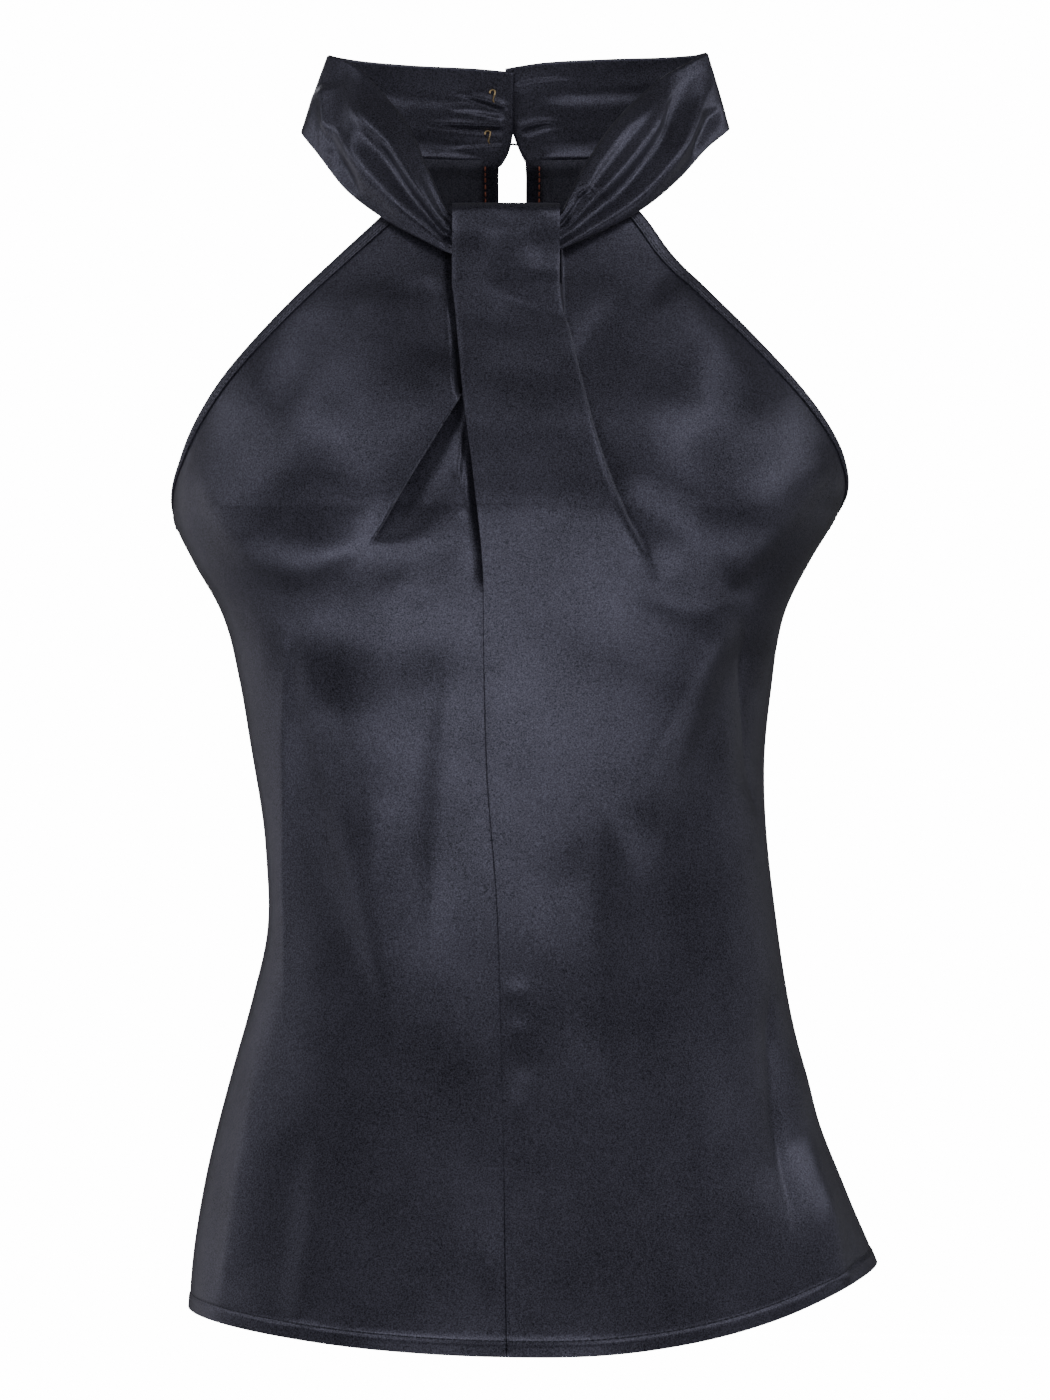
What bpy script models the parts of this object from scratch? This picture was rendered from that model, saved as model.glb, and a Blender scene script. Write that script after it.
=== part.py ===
"""A sleeveless halter-neck top in heavy satin, filled out as when it is worn.

Metres, +Z up. The wearer would face -Y, and left means the left of someone who looks at the front.
The origin is the middle of the neck opening, level with the seam under the back of the collar.
Sizes in the tables are millimetres and degrees.
"""

import bmesh
import bpy
import numpy as np

MM = 0.001
WALL = 1.5  # body cloth, folded edges and seam allowances included
COLLAR_WALL = 2.4  # the collar is cloth doubled over
STRIP_WALL = 1.0  # bindings, hem turnings and facings
SEAM_GAP = 0.3
BINDING_WIDTH = 7.0
HEM_DEPTH = 7.5
HEM = -586.0  # height of the hem at the middle of the front and back
HEM_LIFT_TOP = -440.0  # the hem's rise at the side seams dies out up to here
HEM_RISE = {"left": 11.0, "right": 33.0}  # at the side seam
HEM_SHARPNESS = {"left": 1.5, "right": 2.6}  # how late the rise begins on the way to the seam
UNDERARM = -176.0  # height at which front and back part company
FRONT_TOP = -47.0  # of the fronts at their middles, hidden behind the collar
FRONT_TOP_RISE = 25.0  # how much further up they reach at the armhole
RISE_BOTTOM = -100.0  # the grid's rows begin to climb towards the armhole here
BACK_TOP = 5.7
SEAM_TOP = -212.0  # the centre front seam is closed up to here
SEAM_OPENING = 14.0  # height over which the edges part above the seam
UNDERLAP = 14.0  # how far the left front reaches below the pleat
TUCK = 3.2  # how far it lies behind the right front there
TUCK_RUN = 9.0  # it starts to sink this far from the pleat's edge
SPLIT = -66.0  # above this the loop leaves the right front and goes over the collar
COLLAR_SEAM = 6.0  # height of the collar's lower edge at the back
GATHERS = 2.0  # waves across the collar where the loop draws it together
KEYHOLE_END = -118.0
FACING_WIDTH = 8.0
FLATNESS = 0.85  # under 1 makes a horizontal section flatter in front and tighter at the sides

SATIN = (0.018, 0.019, 0.026)
SATIN_ROUGHNESS = 0.42
BRASS = (0.62, 0.44, 0.22)
BRASS_ROUGHNESS = 0.3


def table(columns, *rows):
    """One array for each named column of a short table. The first column rises."""
    return dict(zip(columns.split(), np.array(rows, float).T))


# Where the cloth ends on each side, and how far round from centre front that edge lies.
FRONT_EDGE = table(
    "height left right turn",
    (-586, 163, 184, 90),
    (-560, 161, 174, 90),
    (-530, 157, 165, 90),
    (-500, 151.5, 157, 90),
    (-460, 142, 148.5, 90),
    (-420, 131, 139.5, 90),
    (-380, 122, 133.5, 90),
    (-340, 123, 129, 90),
    (-300, 129.5, 127.8, 90),
    (-260, 137, 131.8, 90),
    (-220, 147.5, 137.5, 90),
    (-200, 159, 147, 90),
    (-176, 169.5, 162.5, 90),
    (-166, 168, 165.5, 84),
    (-150, 161.5, 162, 76),
    (-130, 151.5, 150, 68),
    (-110, 138.5, 134, 61),
    (-90, 122, 116, 55),
    (-70, 104, 97, 50.5),
    (-50, 84.5, 78.5, 47),
    (-30, 64, 65, 43),
    (-19, 53, 55.5, 41),
)
BACK_EDGE = table(
    "height left right turn",
    (-586, 163, 184, 90),
    (-560, 161, 174, 90),
    (-530, 157, 165, 90),
    (-500, 151.5, 157, 90),
    (-460, 142, 148.5, 90),
    (-420, 131, 139.5, 90),
    (-380, 122, 133.5, 90),
    (-340, 123, 129, 90),
    (-300, 129.5, 127.8, 90),
    (-260, 137, 131.8, 90),
    (-220, 147.5, 137.5, 90),
    (-200, 159, 147, 90),
    (-176, 169.5, 162, 90),
    (-160, 164, 157, 80),
    (-140, 152, 146, 71),
    (-110, 130, 126, 60),
    (-80, 110, 107, 52),
    (-50, 88, 86, 46.5),
    (-25, 67, 66, 43),
    (-10, 59, 59, 41.5),
    (6, 58, 58, 41),
)
# How far the middle of the front and of the back stand from the side seams.
DEPTH = table(
    "height front back",
    (-586, 112, 104),
    (-530, 112, 105),
    (-480, 108, 101),
    (-430, 101, 92),
    (-380, 96, 84),
    (-340, 94.5, 80),
    (-300, 97, 80),
    (-260, 103, 84),
    (-220, 110.5, 90),
    (-190, 114.5, 94),
    (-160, 113.5, 97),
    (-130, 106.5, 99.5),
    (-100, 93, 99),
    (-80, 81.5, 95.5),
    (-60, 69.5, 89.5),
    (-45, 61.5, 83),
    (-30, 54, 75),
    (-10, 47, 64.5),
    (6, 44, 57.5),
)
# The centre front seam, and above it the left edge of the pleat that lies over the left front.
FRONT_MIDDLE = table(
    "height x",
    (-586, -2),
    (-450, -4.5),
    (-367, -7),
    (-304, -11.8),
    (-240, -13.2),
    (-205, -13.6),
    (-160, -18),
    (-112, -24),
    (-80, -27),
    (-50, -29),
)
# The right-hand crease of that pleat, which dies away in the right cup.
PLEAT_CREASE = table(
    "height x lift drop",
    (-586, 70, 0, 0),
    (-300, 68, 0, 0),
    (-225, 68, 0.2, 0),
    (-201, 62, 1.4, 1.6),
    (-179, 51.3, 2.4, 3.0),
    (-140, 38, 2.9, 2.8),
    (-108, 31, 3.2, 2.2),
    (-85, 26, 5.4, 1.6),
    (-66, 23.6, 8.2, 1.0),
)
CREASE_SOFTNESS = 2.2
HOLLOW_WIDTH = 30.0  # of the hollow to the right of the crease
# Half the width of the keyhole below the back of the collar.
KEYHOLE = table(
    "height half",
    (-118, 0.15),
    (-116, 2.6),
    (-110, 5.8),
    (-96, 9.0),
    (-72, 10.0),
    (-40, 8.4),
    (-15, 7.2),
    (6, 7.2),
)
# The line that the loop follows from the front of the pleat over the collar and down inside.
LOOP = table(
    "step y z",
    (0, -81.5, -66),
    (0.2, -79.8, -52),
    (0.38, -77.2, -37),
    (0.5, -73.2, -28.2),
    (0.6, -66, -25.3),
    (0.7, -57.4, -28.5),
    (0.8, -52.2, -37),
    (1, -50.2, -55),
)
# The collar from under the loop round to the centre back, by its lower and upper edges.
# Where close is over 1, its end stays near the upper edge's place until low down.
COLLAR_LEFT = table(
    "step lower_x lower_y lower_z upper_x upper_y upper_z swell gather close",
    (0.0, -3, -71, -58, -3, -71, -31.5, 0, 2.7, 1),
    (0.1, -27, -69, -52, -27, -67.5, -34, 0.6, 3.0, 1),
    (0.2, -45, -62.5, -43, -41, -55, -9, 3.5, 2.4, 1),
    (0.3, -62, -52, -33, -51, -39, 14, 5, 1.5, 1),
    (0.42, -84, -34, -15, -67, -22, 36, 5.5, 0.8, 1),
    (0.52, -98, -15, 4, -81, -8, 51, 3.5, 0.2, 1),
    (0.6, -107, 2, 17, -93.5, 6, 57, 0.5, 0, 1),
    (0.67, -97, 20, 14, -90, 21, 58, 2, 0, 1),
    (0.76, -78, 35, 9, -76, 34, 57.5, 2.5, 0, 1),
    (0.86, -53, 47.9, 6, -49, 47, 57, 2, 0.4, 1),
    (0.95, -21, 56.5, 6, -17, 55.6, 56.5, 0.6, 0.2, 1),
    (1.0, -6.2, 57.4, 6, 0.8, 57.0, 55, 0, 0.1, 6),
)
COLLAR_RIGHT = table(
    "step lower_x lower_y lower_z upper_x upper_y upper_z swell gather close",
    (0.0, -3, -71, -58, -3, -71, -31.5, 0, 2.7, 1),
    (0.1, 21, -69, -50, 21, -67.5, -34, 0.6, 3.0, 1),
    (0.2, 41, -59, -40, 34, -54, -10, 3.5, 2.6, 1),
    (0.3, 63, -46.5, -28, 47, -40, 12, 5, 1.8, 1),
    (0.42, 84, -31, -10, 64, -23, 32, 6, 1.2, 1),
    (0.52, 99.5, -14, 8, 80, -10, 46, 4.5, 0.8, 1),
    (0.6, 110.5, 3, 18.5, 99, 6, 58, 0.5, 0.2, 1),
    (0.67, 100, 20, 14, 94, 21, 59, 2, 0, 1),
    (0.76, 79, 35, 9, 77, 34, 59.5, 2.5, 0, 1),
    (0.86, 54, 47.9, 6, 49, 47.6, 60.5, 2, 0.4, 1),
    (0.95, 22, 58.4, 6, 14, 59.4, 60, 0.6, 0.2, 1),
    (1.0, 8.3, 60.4, 6, -3.5, 61.4, 57.5, 0, 0.1, 3),
)
# Folds of the two fronts, each along a bent line from start by way of bend to end.
# On its left hand the cloth is raised, and on its right hand it has the height given as beyond.
FOLD_COLUMNS = "start_x start_z bend_x bend_z end_x end_z raised left_width beyond right_width crisp"
LEFT_FOLDS = table(
    FOLD_COLUMNS,
    (-68, -200, -45, -150, -12, -80, 3.4, 26, -4.6, 15, 3.4),  # pleat from below the flap
    (-112, -238, -111, -320, -118, -425, 2.6, 12, 2.6, 18, 4),  # turn towards the side
    (-100, -236, -78, -275, -60, -335, 1.6, 20, 1.6, 24, 6),  # drape from the cup
)
RIGHT_FOLDS = table(
    FOLD_COLUMNS,
    (118, -238, 124, -290, 126, -345, 2.6, 20, 2.0, 12, 4),  # turn towards the side
    (102, -228, 70, -290, 42, -345, 2.4, 26, 2.4, 18, 6),  # drape from the cup
    (168, -560, 160, -520, 150, -480, 2.6, 14, -1.2, 18, 6),  # flare at the corner
)
FOLD_FADE = 0.12  # share of a fold's length over which each end dies out
# Cups: how far the bust stands out of the plain section, and how fast it falls away.
CUPS = table(
    "x z out inner outer above below",
    (-90, -168, 17, 62, 62, 66, 58),
    (92, -168, 17, 62, 60, 66, 60),
)
# The loop's shape across, and the share of its way in which it takes over from the pleat.
LOOP_MIDDLE = -3.0
LOOP_HALF = 27.0
LOOP_BOW = 2.0
LOOP_START = 0.25
BUTTONS = table("height x", (20.8, -12.4), (42, -9.9))
BUTTON_NECK = 1.9  # radius of the neck that a loop closes round
BUTTON_NECK_HEIGHT = 1.9
# Radius and distance from the collar along a button, from the middle of its dome to that of its neck.
BUTTON_PROFILE = ((0, 4.9), (2.1, 4.6), (3.7, 3.8), (4.6, 2.7), (4.3, 1.9), (1.9, 1.9), (1.9, 0), (0, 0))
SHANK_WIRE = 0.45  # radius
THREAD_LOOP = 0.6  # radius
# A leg of a button loop: across from the right end's edge and out from its face, then from the button.
LEG_WAYS = ((5, 0.4), (2, 0.2), (-0.6, -0.1), (-1.7, -1.6), (None, 3.4))
# The shank's visible end behind the button, seen from the front: across and up from its middle.
SHANK_BEND = ((-1.7, 1.4), (-1.5, 2.9), (-0.2, 3.5), (1.0, 2.7), (0.7, 0.6), (0.1, -1.4), (0.5, -3.0))
# Parameters at which the panels' grid lines run along the edges of bindings and hems.
EDGE_LINE = 0.1
STRIP_BOTTOM = UNDERARM - 8
LOOP_SPAN = FRONT_TOP - SPLIT  # nominal height that stands for the loop's steps
SLIT = 0.012  # half the width of the slit between the loop and the right front, as a parameter
LOWER_ROWS = ((HEM, 1), (HEM + HEM_DEPTH, 8), (-400, 6), (-250, 5), (STRIP_BOTTOM, 1))
FRONT_ROWS = (*LOWER_ROWS, (UNDERARM, 14), (FRONT_TOP, 0))
PLEATED_ROWS = (*LOWER_ROWS, (UNDERARM, 10), (SPLIT, 11), (FRONT_TOP, 0))
BACK_ROWS = (*LOWER_ROWS, (UNDERARM, 5), (KEYHOLE_END, 4), (-90, 5), (BACK_TOP, 0))


def read(rows, column, at):
    """A smooth curve through one column, read where the first column has the values given."""
    knots = next(iter(rows.values()))
    values = rows[column]
    slopes = np.gradient(values, knots)
    at = np.clip(np.asarray(at, float), knots[0], knots[-1])
    low = np.clip(np.searchsorted(knots, at) - 1, 0, len(knots) - 2)
    span = knots[low + 1] - knots[low]
    t = (at - knots[low]) / span
    ease = t * t * (3 - 2 * t)
    bend = slopes[low] * t * (1 - t) ** 2 - slopes[low + 1] * t * t * (1 - t)
    return values[low] * (1 - ease) + values[low + 1] * ease + span * bend


def smooth(t):
    t = np.clip(t, 0, 1)
    return t * t * (3 - 2 * t)


def spaced(*stops):
    """Grid lines from (value, cells up to the next value) pairs. The last pair has no cells."""
    runs = [np.linspace(a, b, n, endpoint=False) for (a, n), (b, _) in zip(stops, stops[1:])]
    return np.concatenate([*runs, [stops[-1][0]]])


def row_count(stops, top):
    """How many cells lie below the stop whose value is top."""
    return sum(cells for value, cells in stops if value < top)


def fold_relief(folds, x, z):
    """How far a table of folds lifts the cloth at places on the fronts."""
    total = np.zeros(np.shape(x))
    t = np.linspace(0, 1, 41)
    for row in zip(*folds.values()):
        x0, z0, x1, z1, x2, z2, raised, left_width, beyond, right_width, crisp = row
        line_x = (1 - t) ** 2 * x0 + 2 * t * (1 - t) * x1 + t * t * x2
        line_z = (1 - t) ** 2 * z0 + 2 * t * (1 - t) * z1 + t * t * z2
        away_x = x[..., None] - line_x
        away_z = z[..., None] - line_z
        near = np.argmin(away_x**2 + away_z**2, axis=-1)
        along_x = np.gradient(line_x)[near]
        along_z = np.gradient(line_z)[near]
        away_x = np.take_along_axis(away_x, near[..., None], -1)[..., 0]
        away_z = np.take_along_axis(away_z, near[..., None], -1)[..., 0]
        # Someone who walks the line, seen from the front, has positive distances on the left.
        off = (along_x * away_z - along_z * away_x) / np.hypot(along_x, along_z)
        left = 0.5 * (1 + np.tanh(off / crisp))
        shape = left * raised * np.exp(-((off / left_width) ** 2))
        shape += (1 - left) * beyond * np.exp(-((off / right_width) ** 2))
        place = t[near]
        total += shape * smooth(place / FOLD_FADE) * smooth((1 - place) / FOLD_FADE)
    return total


def cup_relief(x, z):
    total = np.zeros(np.shape(x))
    for cup_x, cup_z, out, inner, outer, above, below in zip(*CUPS.values()):
        inwards = np.sign(-cup_x) * (x - cup_x) > 0
        wide = np.where(inwards, inner, outer)
        tall = np.where(z > cup_z, above, below)
        total += out * np.exp(-(((x - cup_x) / wide) ** 2) - ((z - cup_z) / tall) ** 2)
    return total


def side_edge(rows, height, side):
    """Half the width of the whole oval that a section is part of, and the turn at its outer edge."""
    turn = np.radians(read(rows, "turn", height))
    return read(rows, side, height) / np.sin(turn), turn


def hem_lift(turn, height, side):
    """How much the cloth is higher towards a side seam, because the hem rises there."""
    low = smooth((HEM_LIFT_TOP - height) / (HEM_LIFT_TOP - HEM))
    return HEM_RISE[side] * np.abs(np.sin(turn)) ** HEM_SHARPNESS[side] * low


def oval(turn, half, depth, facing):
    """Points of a horizontal section and its outward directions. facing is -1 in front, 1 behind."""
    ahead = np.maximum(np.cos(turn), 0)
    x = half * np.sin(turn)
    y = facing * (depth * ahead**FLATNESS + SEAM_GAP / 2)
    out_x = np.sin(turn) / half
    out_y = facing * ahead / depth
    length = np.hypot(out_x, out_y)
    return x, y, out_x / length, out_y / length


def front_cloth(turn, height, half, side, folds, relief):
    """Right and wrong side of front cloth. turn is measured from centre front, height is nominal,
    and folds is how far the cloth's own folds lift it."""
    z = height + hem_lift(turn, height, side)
    x, y, out_x, out_y = oval(turn, half, read(DEPTH, "front", height), -1)
    at_seam = smooth(1.6 * np.sqrt(np.maximum(np.cos(turn), 0)))  # nothing is raised at a side seam
    lift = (cup_relief(x, z) + folds(x, z)) * at_seam + relief
    outer = np.stack([x + out_x * lift, y + out_y * lift, z], -1)
    return outer, outer - WALL * np.stack([out_x, out_y, 0 * out_x], -1)


def top_rise(share, height):
    """The fronts' grid climbs towards the armhole, where share is 1."""
    climb = smooth((height - RISE_BOTTOM) / (FRONT_TOP - RISE_BOTTOM))
    return FRONT_TOP_RISE * share**1.2 * climb


def turn_at(x, half):
    return np.arcsin(np.clip(x / half, -1, 1))


def strip_share(u, edge, middle, half, depth, end_strip=0.0):
    """Share of the way from a panel's edge to its middle at u. The first grid line lies along the
    binding, and with an end strip the last lies along that."""
    span = np.abs(edge - middle)
    first = BINDING_WIDTH / (span * np.hypot(half * np.cos(edge), depth * np.sin(edge)))
    last = end_strip / (span * half)
    end_line = EDGE_LINE if end_strip else 0.0
    between = first + (1 - first - last) * (u - EDGE_LINE) / (1 - EDGE_LINE - end_line)
    share = np.where(u < EDGE_LINE, first * u / EDGE_LINE, between)
    if end_strip:
        share = np.where(u > 1 - EDGE_LINE, 1 - last * (1 - u) / EDGE_LINE, share)
    return share


def front_left(u, v):
    """u runs from the side seam and armhole at 0 to the middle at 1. v is the height."""
    height = v + top_rise(1 - u, v)
    half, edge = side_edge(FRONT_EDGE, height, "left")
    line = read(FRONT_MIDDLE, "x", height) - SEAM_GAP / 2
    opened = smooth((v - SEAM_TOP) / SEAM_OPENING + 0.6)
    middle = turn_at(line + UNDERLAP * smooth((v - SEAM_TOP) / 3 / SEAM_OPENING), half)
    share = strip_share(u, -edge, middle, half, read(DEPTH, "front", height))
    turn = -edge + (middle + edge) * share
    tucked = smooth((half * np.sin(turn) - line + TUCK_RUN) / TUCK_RUN) * opened

    def folds(x, z):
        return fold_relief(LEFT_FOLDS, x, z) * (1 - tucked)

    return front_cloth(turn, height, half, "left", folds, -TUCK * tucked)


def pleat_relief(x, height):
    """The right front lies high in the pleat, and low just right of its crease."""
    crease = read(PLEAT_CREASE, "x", height)
    lift = read(PLEAT_CREASE, "lift", height) * smooth((height - SEAM_TOP) / SEAM_OPENING)
    drop = read(PLEAT_CREASE, "drop", height)
    on = 0.5 * (1 - np.tanh((x - crease) / CREASE_SOFTNESS))
    return on * lift - (1 - on) * drop * np.exp(-(((x - crease) / HOLLOW_WIDTH) ** 2))


def front_right(u, v):
    """u is 0 at the side seam and armhole, 1 at the pleat's crease and 2 at its left edge. v is the
    height, and beyond u = 1 the heights above SPLIT stand for the steps of the loop."""
    height = np.where(u > 1, np.minimum(v, SPLIT), v + top_rise(np.clip(1 - u, 0, 1), v))
    half, edge = side_edge(FRONT_EDGE, height, "right")
    middle = turn_at(read(FRONT_MIDDLE, "x", height) + SEAM_GAP / 2, half)
    crease = turn_at(read(PLEAT_CREASE, "x", height), half)
    share = strip_share(np.clip(u, 0, 1), edge, crease, half, read(DEPTH, "front", height))
    turn = edge + (crease - edge) * share + (middle - crease) * np.clip(u - 1, 0, 1)

    def folds(x, z):
        return fold_relief(RIGHT_FOLDS, x, z)

    raised = pleat_relief(half * np.sin(turn), height)
    outer, inner = front_cloth(turn, height, half, "right", folds, raised)
    step = np.clip((v - SPLIT) / LOOP_SPAN, 0, 1)
    in_loop = ((u > 1) & (step > 0))[..., None]
    loop_outer, loop_inner = loop_cloth(outer, inner, step)
    return np.where(in_loop, loop_outer, outer), np.where(in_loop, loop_inner, inner)


def loop_cloth(outer, inner, step):
    """The loop carries the top edge of the pleat along the LOOP line, slightly bowed across."""
    ahead, behind = np.clip(step + 0.01, 0, 1), np.clip(step - 0.01, 0, 1)
    along_y = read(LOOP, "y", ahead) - read(LOOP, "y", behind)
    along_z = read(LOOP, "z", ahead) - read(LOOP, "z", behind)
    length = np.hypot(along_y, along_z)
    start = smooth(1 - step / LOOP_START)
    across = (outer[..., 0] - LOOP_MIDDLE) / LOOP_HALF
    y = read(LOOP, "y", step) + (outer[..., 1] - LOOP["y"][0]) * start
    y += LOOP_BOW * across**2 * (1 - start)
    z = read(LOOP, "z", step) + (outer[..., 2] - LOOP["z"][0]) * start
    carried = np.stack([outer[..., 0], y, z], -1)
    # Uphill the wrong side faces the neck, and past the top it faces the collar.
    turned = np.stack([0 * y, along_z / length, -along_y / length], -1)
    inwards = (inner - outer) * start[..., None] + turned * WALL * (1 - start[..., None])
    return carried, carried + inwards


def back_panel(side):
    """u runs from the side seam and armhole at 0 to the centre back at 1. v is the height."""
    sign = 1 if side == "right" else -1

    def shape(u, v):
        half, edge = side_edge(BACK_EDGE, v, side)
        depth = read(DEPTH, "back", v)
        middle = turn_at(np.maximum(read(KEYHOLE, "half", v), SEAM_GAP / 2), half)
        share = strip_share(u, edge, middle, half, depth, FACING_WIDTH)
        turn = sign * (edge + (middle - edge) * share)
        x, y, out_x, out_y = oval(turn, half, depth, 1)
        outer = np.stack([x, y, v + hem_lift(turn, v, side)], -1)
        return outer, outer - WALL * np.stack([out_x, out_y, 0 * out_x], -1)

    return shape


def collar_half(rows, sign):
    """Right and wrong side of half the collar. u is the step, 0 under the loop and 1 at the back,
    and v runs from the lower edge at 0 to the upper edge at 1."""

    def shape(u, v):
        lower_x, lower_y, lower_z = (read(rows, f"lower_{axis}", u) for axis in "xyz")
        upper_x, upper_y, upper_z = (read(rows, f"upper_{axis}", u) for axis in "xyz")
        closed = 1 - (1 - v) ** np.maximum(read(rows, "close", u), 1)
        along_x = read(rows, "lower_x", u + 0.01) - read(rows, "lower_x", u - 0.01)
        along_y = read(rows, "lower_y", u + 0.01) - read(rows, "lower_y", u - 0.01)
        length = np.hypot(along_x, along_y)
        outwards = np.stack([-sign * along_y / length, sign * along_x / length, 0 * length], -1)
        arch = np.sin(np.pi * v)
        lift = read(rows, "swell", u) * arch
        lift += read(rows, "gather", u) * np.sin(2 * np.pi * GATHERS * v) * np.sqrt(np.abs(arch))
        line = np.stack(
            [
                lower_x + (upper_x - lower_x) * closed,
                lower_y + (upper_y - lower_y) * v,
                lower_z + (upper_z - lower_z) * v,
            ],
            -1,
        )
        outer = line + outwards * lift[..., None]
        return outer, outer - COLLAR_WALL * outwards

    return shape


collar_left = collar_half(COLLAR_LEFT, 1)
collar_right = collar_half(COLLAR_RIGHT, -1)


def collar(u, v):
    """The whole collar, from its left end at -1 under the loop at 0 to its right end at 1."""
    left_outer, left_inner = collar_left(np.clip(-u, 0, 1), v)
    right_outer, right_inner = collar_right(np.clip(u, 0, 1), v)
    is_left = (u < 0)[..., None]
    return np.where(is_left, left_outer, right_outer), np.where(is_left, left_inner, right_inner)


def strip_over(shape):
    """What lies on the right side of a panel, made from its points moved outwards."""

    def strip(u, v):
        outer, inner = shape(u, v)
        away = (outer - inner) / np.linalg.norm(outer - inner, axis=-1, keepdims=True)
        return outer + away * (SEAM_GAP + STRIP_WALL), outer + away * SEAM_GAP

    return strip


def strip_under(shape):
    """What lies on the wrong side of a panel, made from its points moved inwards."""

    def strip(u, v):
        outer, inner = shape(u, v)
        away = (outer - inner) / np.linalg.norm(outer - inner, axis=-1, keepdims=True)
        return inner - away * SEAM_GAP, inner - away * (SEAM_GAP + STRIP_WALL)

    return strip


def principled(name, colour, roughness, metallic):
    material = bpy.data.materials.new(name)
    material.use_nodes = True
    shader = material.node_tree.nodes["Principled BSDF"]
    shader.inputs["Base Color"].default_value = (*colour, 1)
    shader.inputs["Roughness"].default_value = roughness
    shader.inputs["Metallic"].default_value = metallic
    return material


def cloth(name, shape, across, up, collection, missing=None):
    """A closed wall of cloth over a flat grid whose lines are across and up. shape gives its two
    sides, and the cells for which missing is true are left out."""
    mesh = bmesh.new()
    bmesh.ops.create_grid(mesh, x_segments=len(across) - 1, y_segments=len(up) - 1, size=0.5)
    cells = np.array([len(across) - 1, len(up) - 1])
    if missing:
        middles = [(face, (np.array(face.calc_center_median()[:2]) + 0.5) * cells) for face in mesh.faces]
        gone = [face for face, middle in middles if missing(*middle.astype(int))]
        bmesh.ops.delete(mesh, geom=gone, context="FACES")
    made = bmesh.ops.extrude_face_region(mesh, geom=list(mesh.faces), use_keep_orig=True)
    wrong_side = {item for item in made["geom"] if isinstance(item, bmesh.types.BMVert)}
    places = np.array([vert.co[:2] for vert in mesh.verts])
    column, row = np.rint((places + 0.5) * cells).astype(int).T
    outer, inner = shape(across[column], up[row])
    for vert, right, wrong in zip(mesh.verts, outer, inner):
        vert.co = (wrong if vert in wrong_side else right) * MM
    bmesh.ops.recalc_face_normals(mesh, faces=list(mesh.faces))
    if mesh.calc_volume(signed=True) < 0:
        bmesh.ops.reverse_faces(mesh, faces=list(mesh.faces))
    return finish(name, mesh, principled(name, SATIN, SATIN_ROUGHNESS, 0), collection)


def finish(name, mesh, material, collection):
    data = bpy.data.meshes.new(name)
    mesh.to_mesh(data)
    mesh.free()
    data.shade_smooth()
    data.set_sharp_from_angle(angle=np.radians(50))
    data.materials.append(material)
    obj = bpy.data.objects.new(name, data)
    collection.objects.link(obj)
    return obj


def wire(name, points, radius, material, collection):
    """A round wire or thread along a smooth curve through points."""
    points = np.array(points)
    steps = np.arange(len(points))
    slopes = np.gradient(points, axis=0)
    fine = np.linspace(0, len(points) - 1, 2 * len(points) - 1)
    low = np.minimum(fine.astype(int), steps[-2])
    t = (fine - low)[:, None]
    ease = smooth(t)
    line = points[low] * (1 - ease) + points[low + 1] * ease
    line += slopes[low] * t * (1 - t) ** 2 - slopes[low + 1] * t * t * (1 - t)
    curve = bpy.data.curves.new(name, "CURVE")
    curve.dimensions = "3D"
    curve.bevel_depth = radius * MM
    curve.bevel_resolution = 1
    curve.use_fill_caps = True
    spline = curve.splines.new("POLY")
    spline.points.add(len(line) - 1)
    for place, point in zip(spline.points, line * MM):
        place.co = (*point, 1)
    curve.materials.append(material)
    obj = bpy.data.objects.new(name, curve)
    collection.objects.link(obj)
    return obj


def button(name, seat, collection):
    """A satin-covered button, turned about an axis that points away from the wearer's neck."""
    mesh = bmesh.new()
    verts = [mesh.verts.new((r * MM, 0, y * MM)) for r, y in BUTTON_PROFILE]
    edges = [mesh.edges.new(pair) for pair in zip(verts, verts[1:])]
    bmesh.ops.spin(mesh, geom=verts + edges, axis=(0, 0, 1), angle=2 * np.pi, steps=14, use_merge=True)
    bmesh.ops.remove_doubles(mesh, verts=list(mesh.verts), dist=0.00001)
    bmesh.ops.recalc_face_normals(mesh, faces=list(mesh.faces))
    obj = finish(name, mesh, principled(name, SATIN, SATIN_ROUGHNESS, 0), collection)
    obj.rotation_euler = (-np.pi / 2, 0, 0)
    obj.location = np.array(seat) * MM
    return obj


def panels(collection):
    """The two fronts and two backs with their turned-up hems, the bindings and the facings."""
    left = spaced((0, 1), (EDGE_LINE, 6), (0.45, 11), (1, 0))
    right = spaced((0, 1), (EDGE_LINE, 12), (1 - SLIT, 1), (1 + SLIT, 7), (2, 0))
    back = spaced((0, 1), (EDGE_LINE, 8), (1 - EDGE_LINE, 1), (1, 0))
    slit_column = np.searchsorted(right, 1) - 1
    split_row = row_count(PLEATED_ROWS, SPLIT)

    def in_slit(column, row):
        return column == slit_column and row >= split_row

    for name, shape, across, rows, missing in (
        ("front_left", front_left, left, FRONT_ROWS, None),
        ("front_right", front_right, right, PLEATED_ROWS, in_slit),
        ("back_left", back_panel("left"), back, BACK_ROWS, None),
        ("back_right", back_panel("right"), back, BACK_ROWS, None),
    ):
        up = spaced(*rows)
        cloth(name, shape, across, up, collection, missing)
        cloth(f"hem_{name}", strip_under(shape), across, up[:2], collection)
        armhole = up[row_count(rows, STRIP_BOTTOM) :]
        cloth(f"binding_{name}", strip_over(shape), across[:2], armhole, collection)
        if name.startswith("back"):
            keyhole = up[row_count(rows, KEYHOLE_END) + 1 :]
            cloth(f"facing_{name}", strip_under(shape), across[-2:], keyhole, collection)


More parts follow.
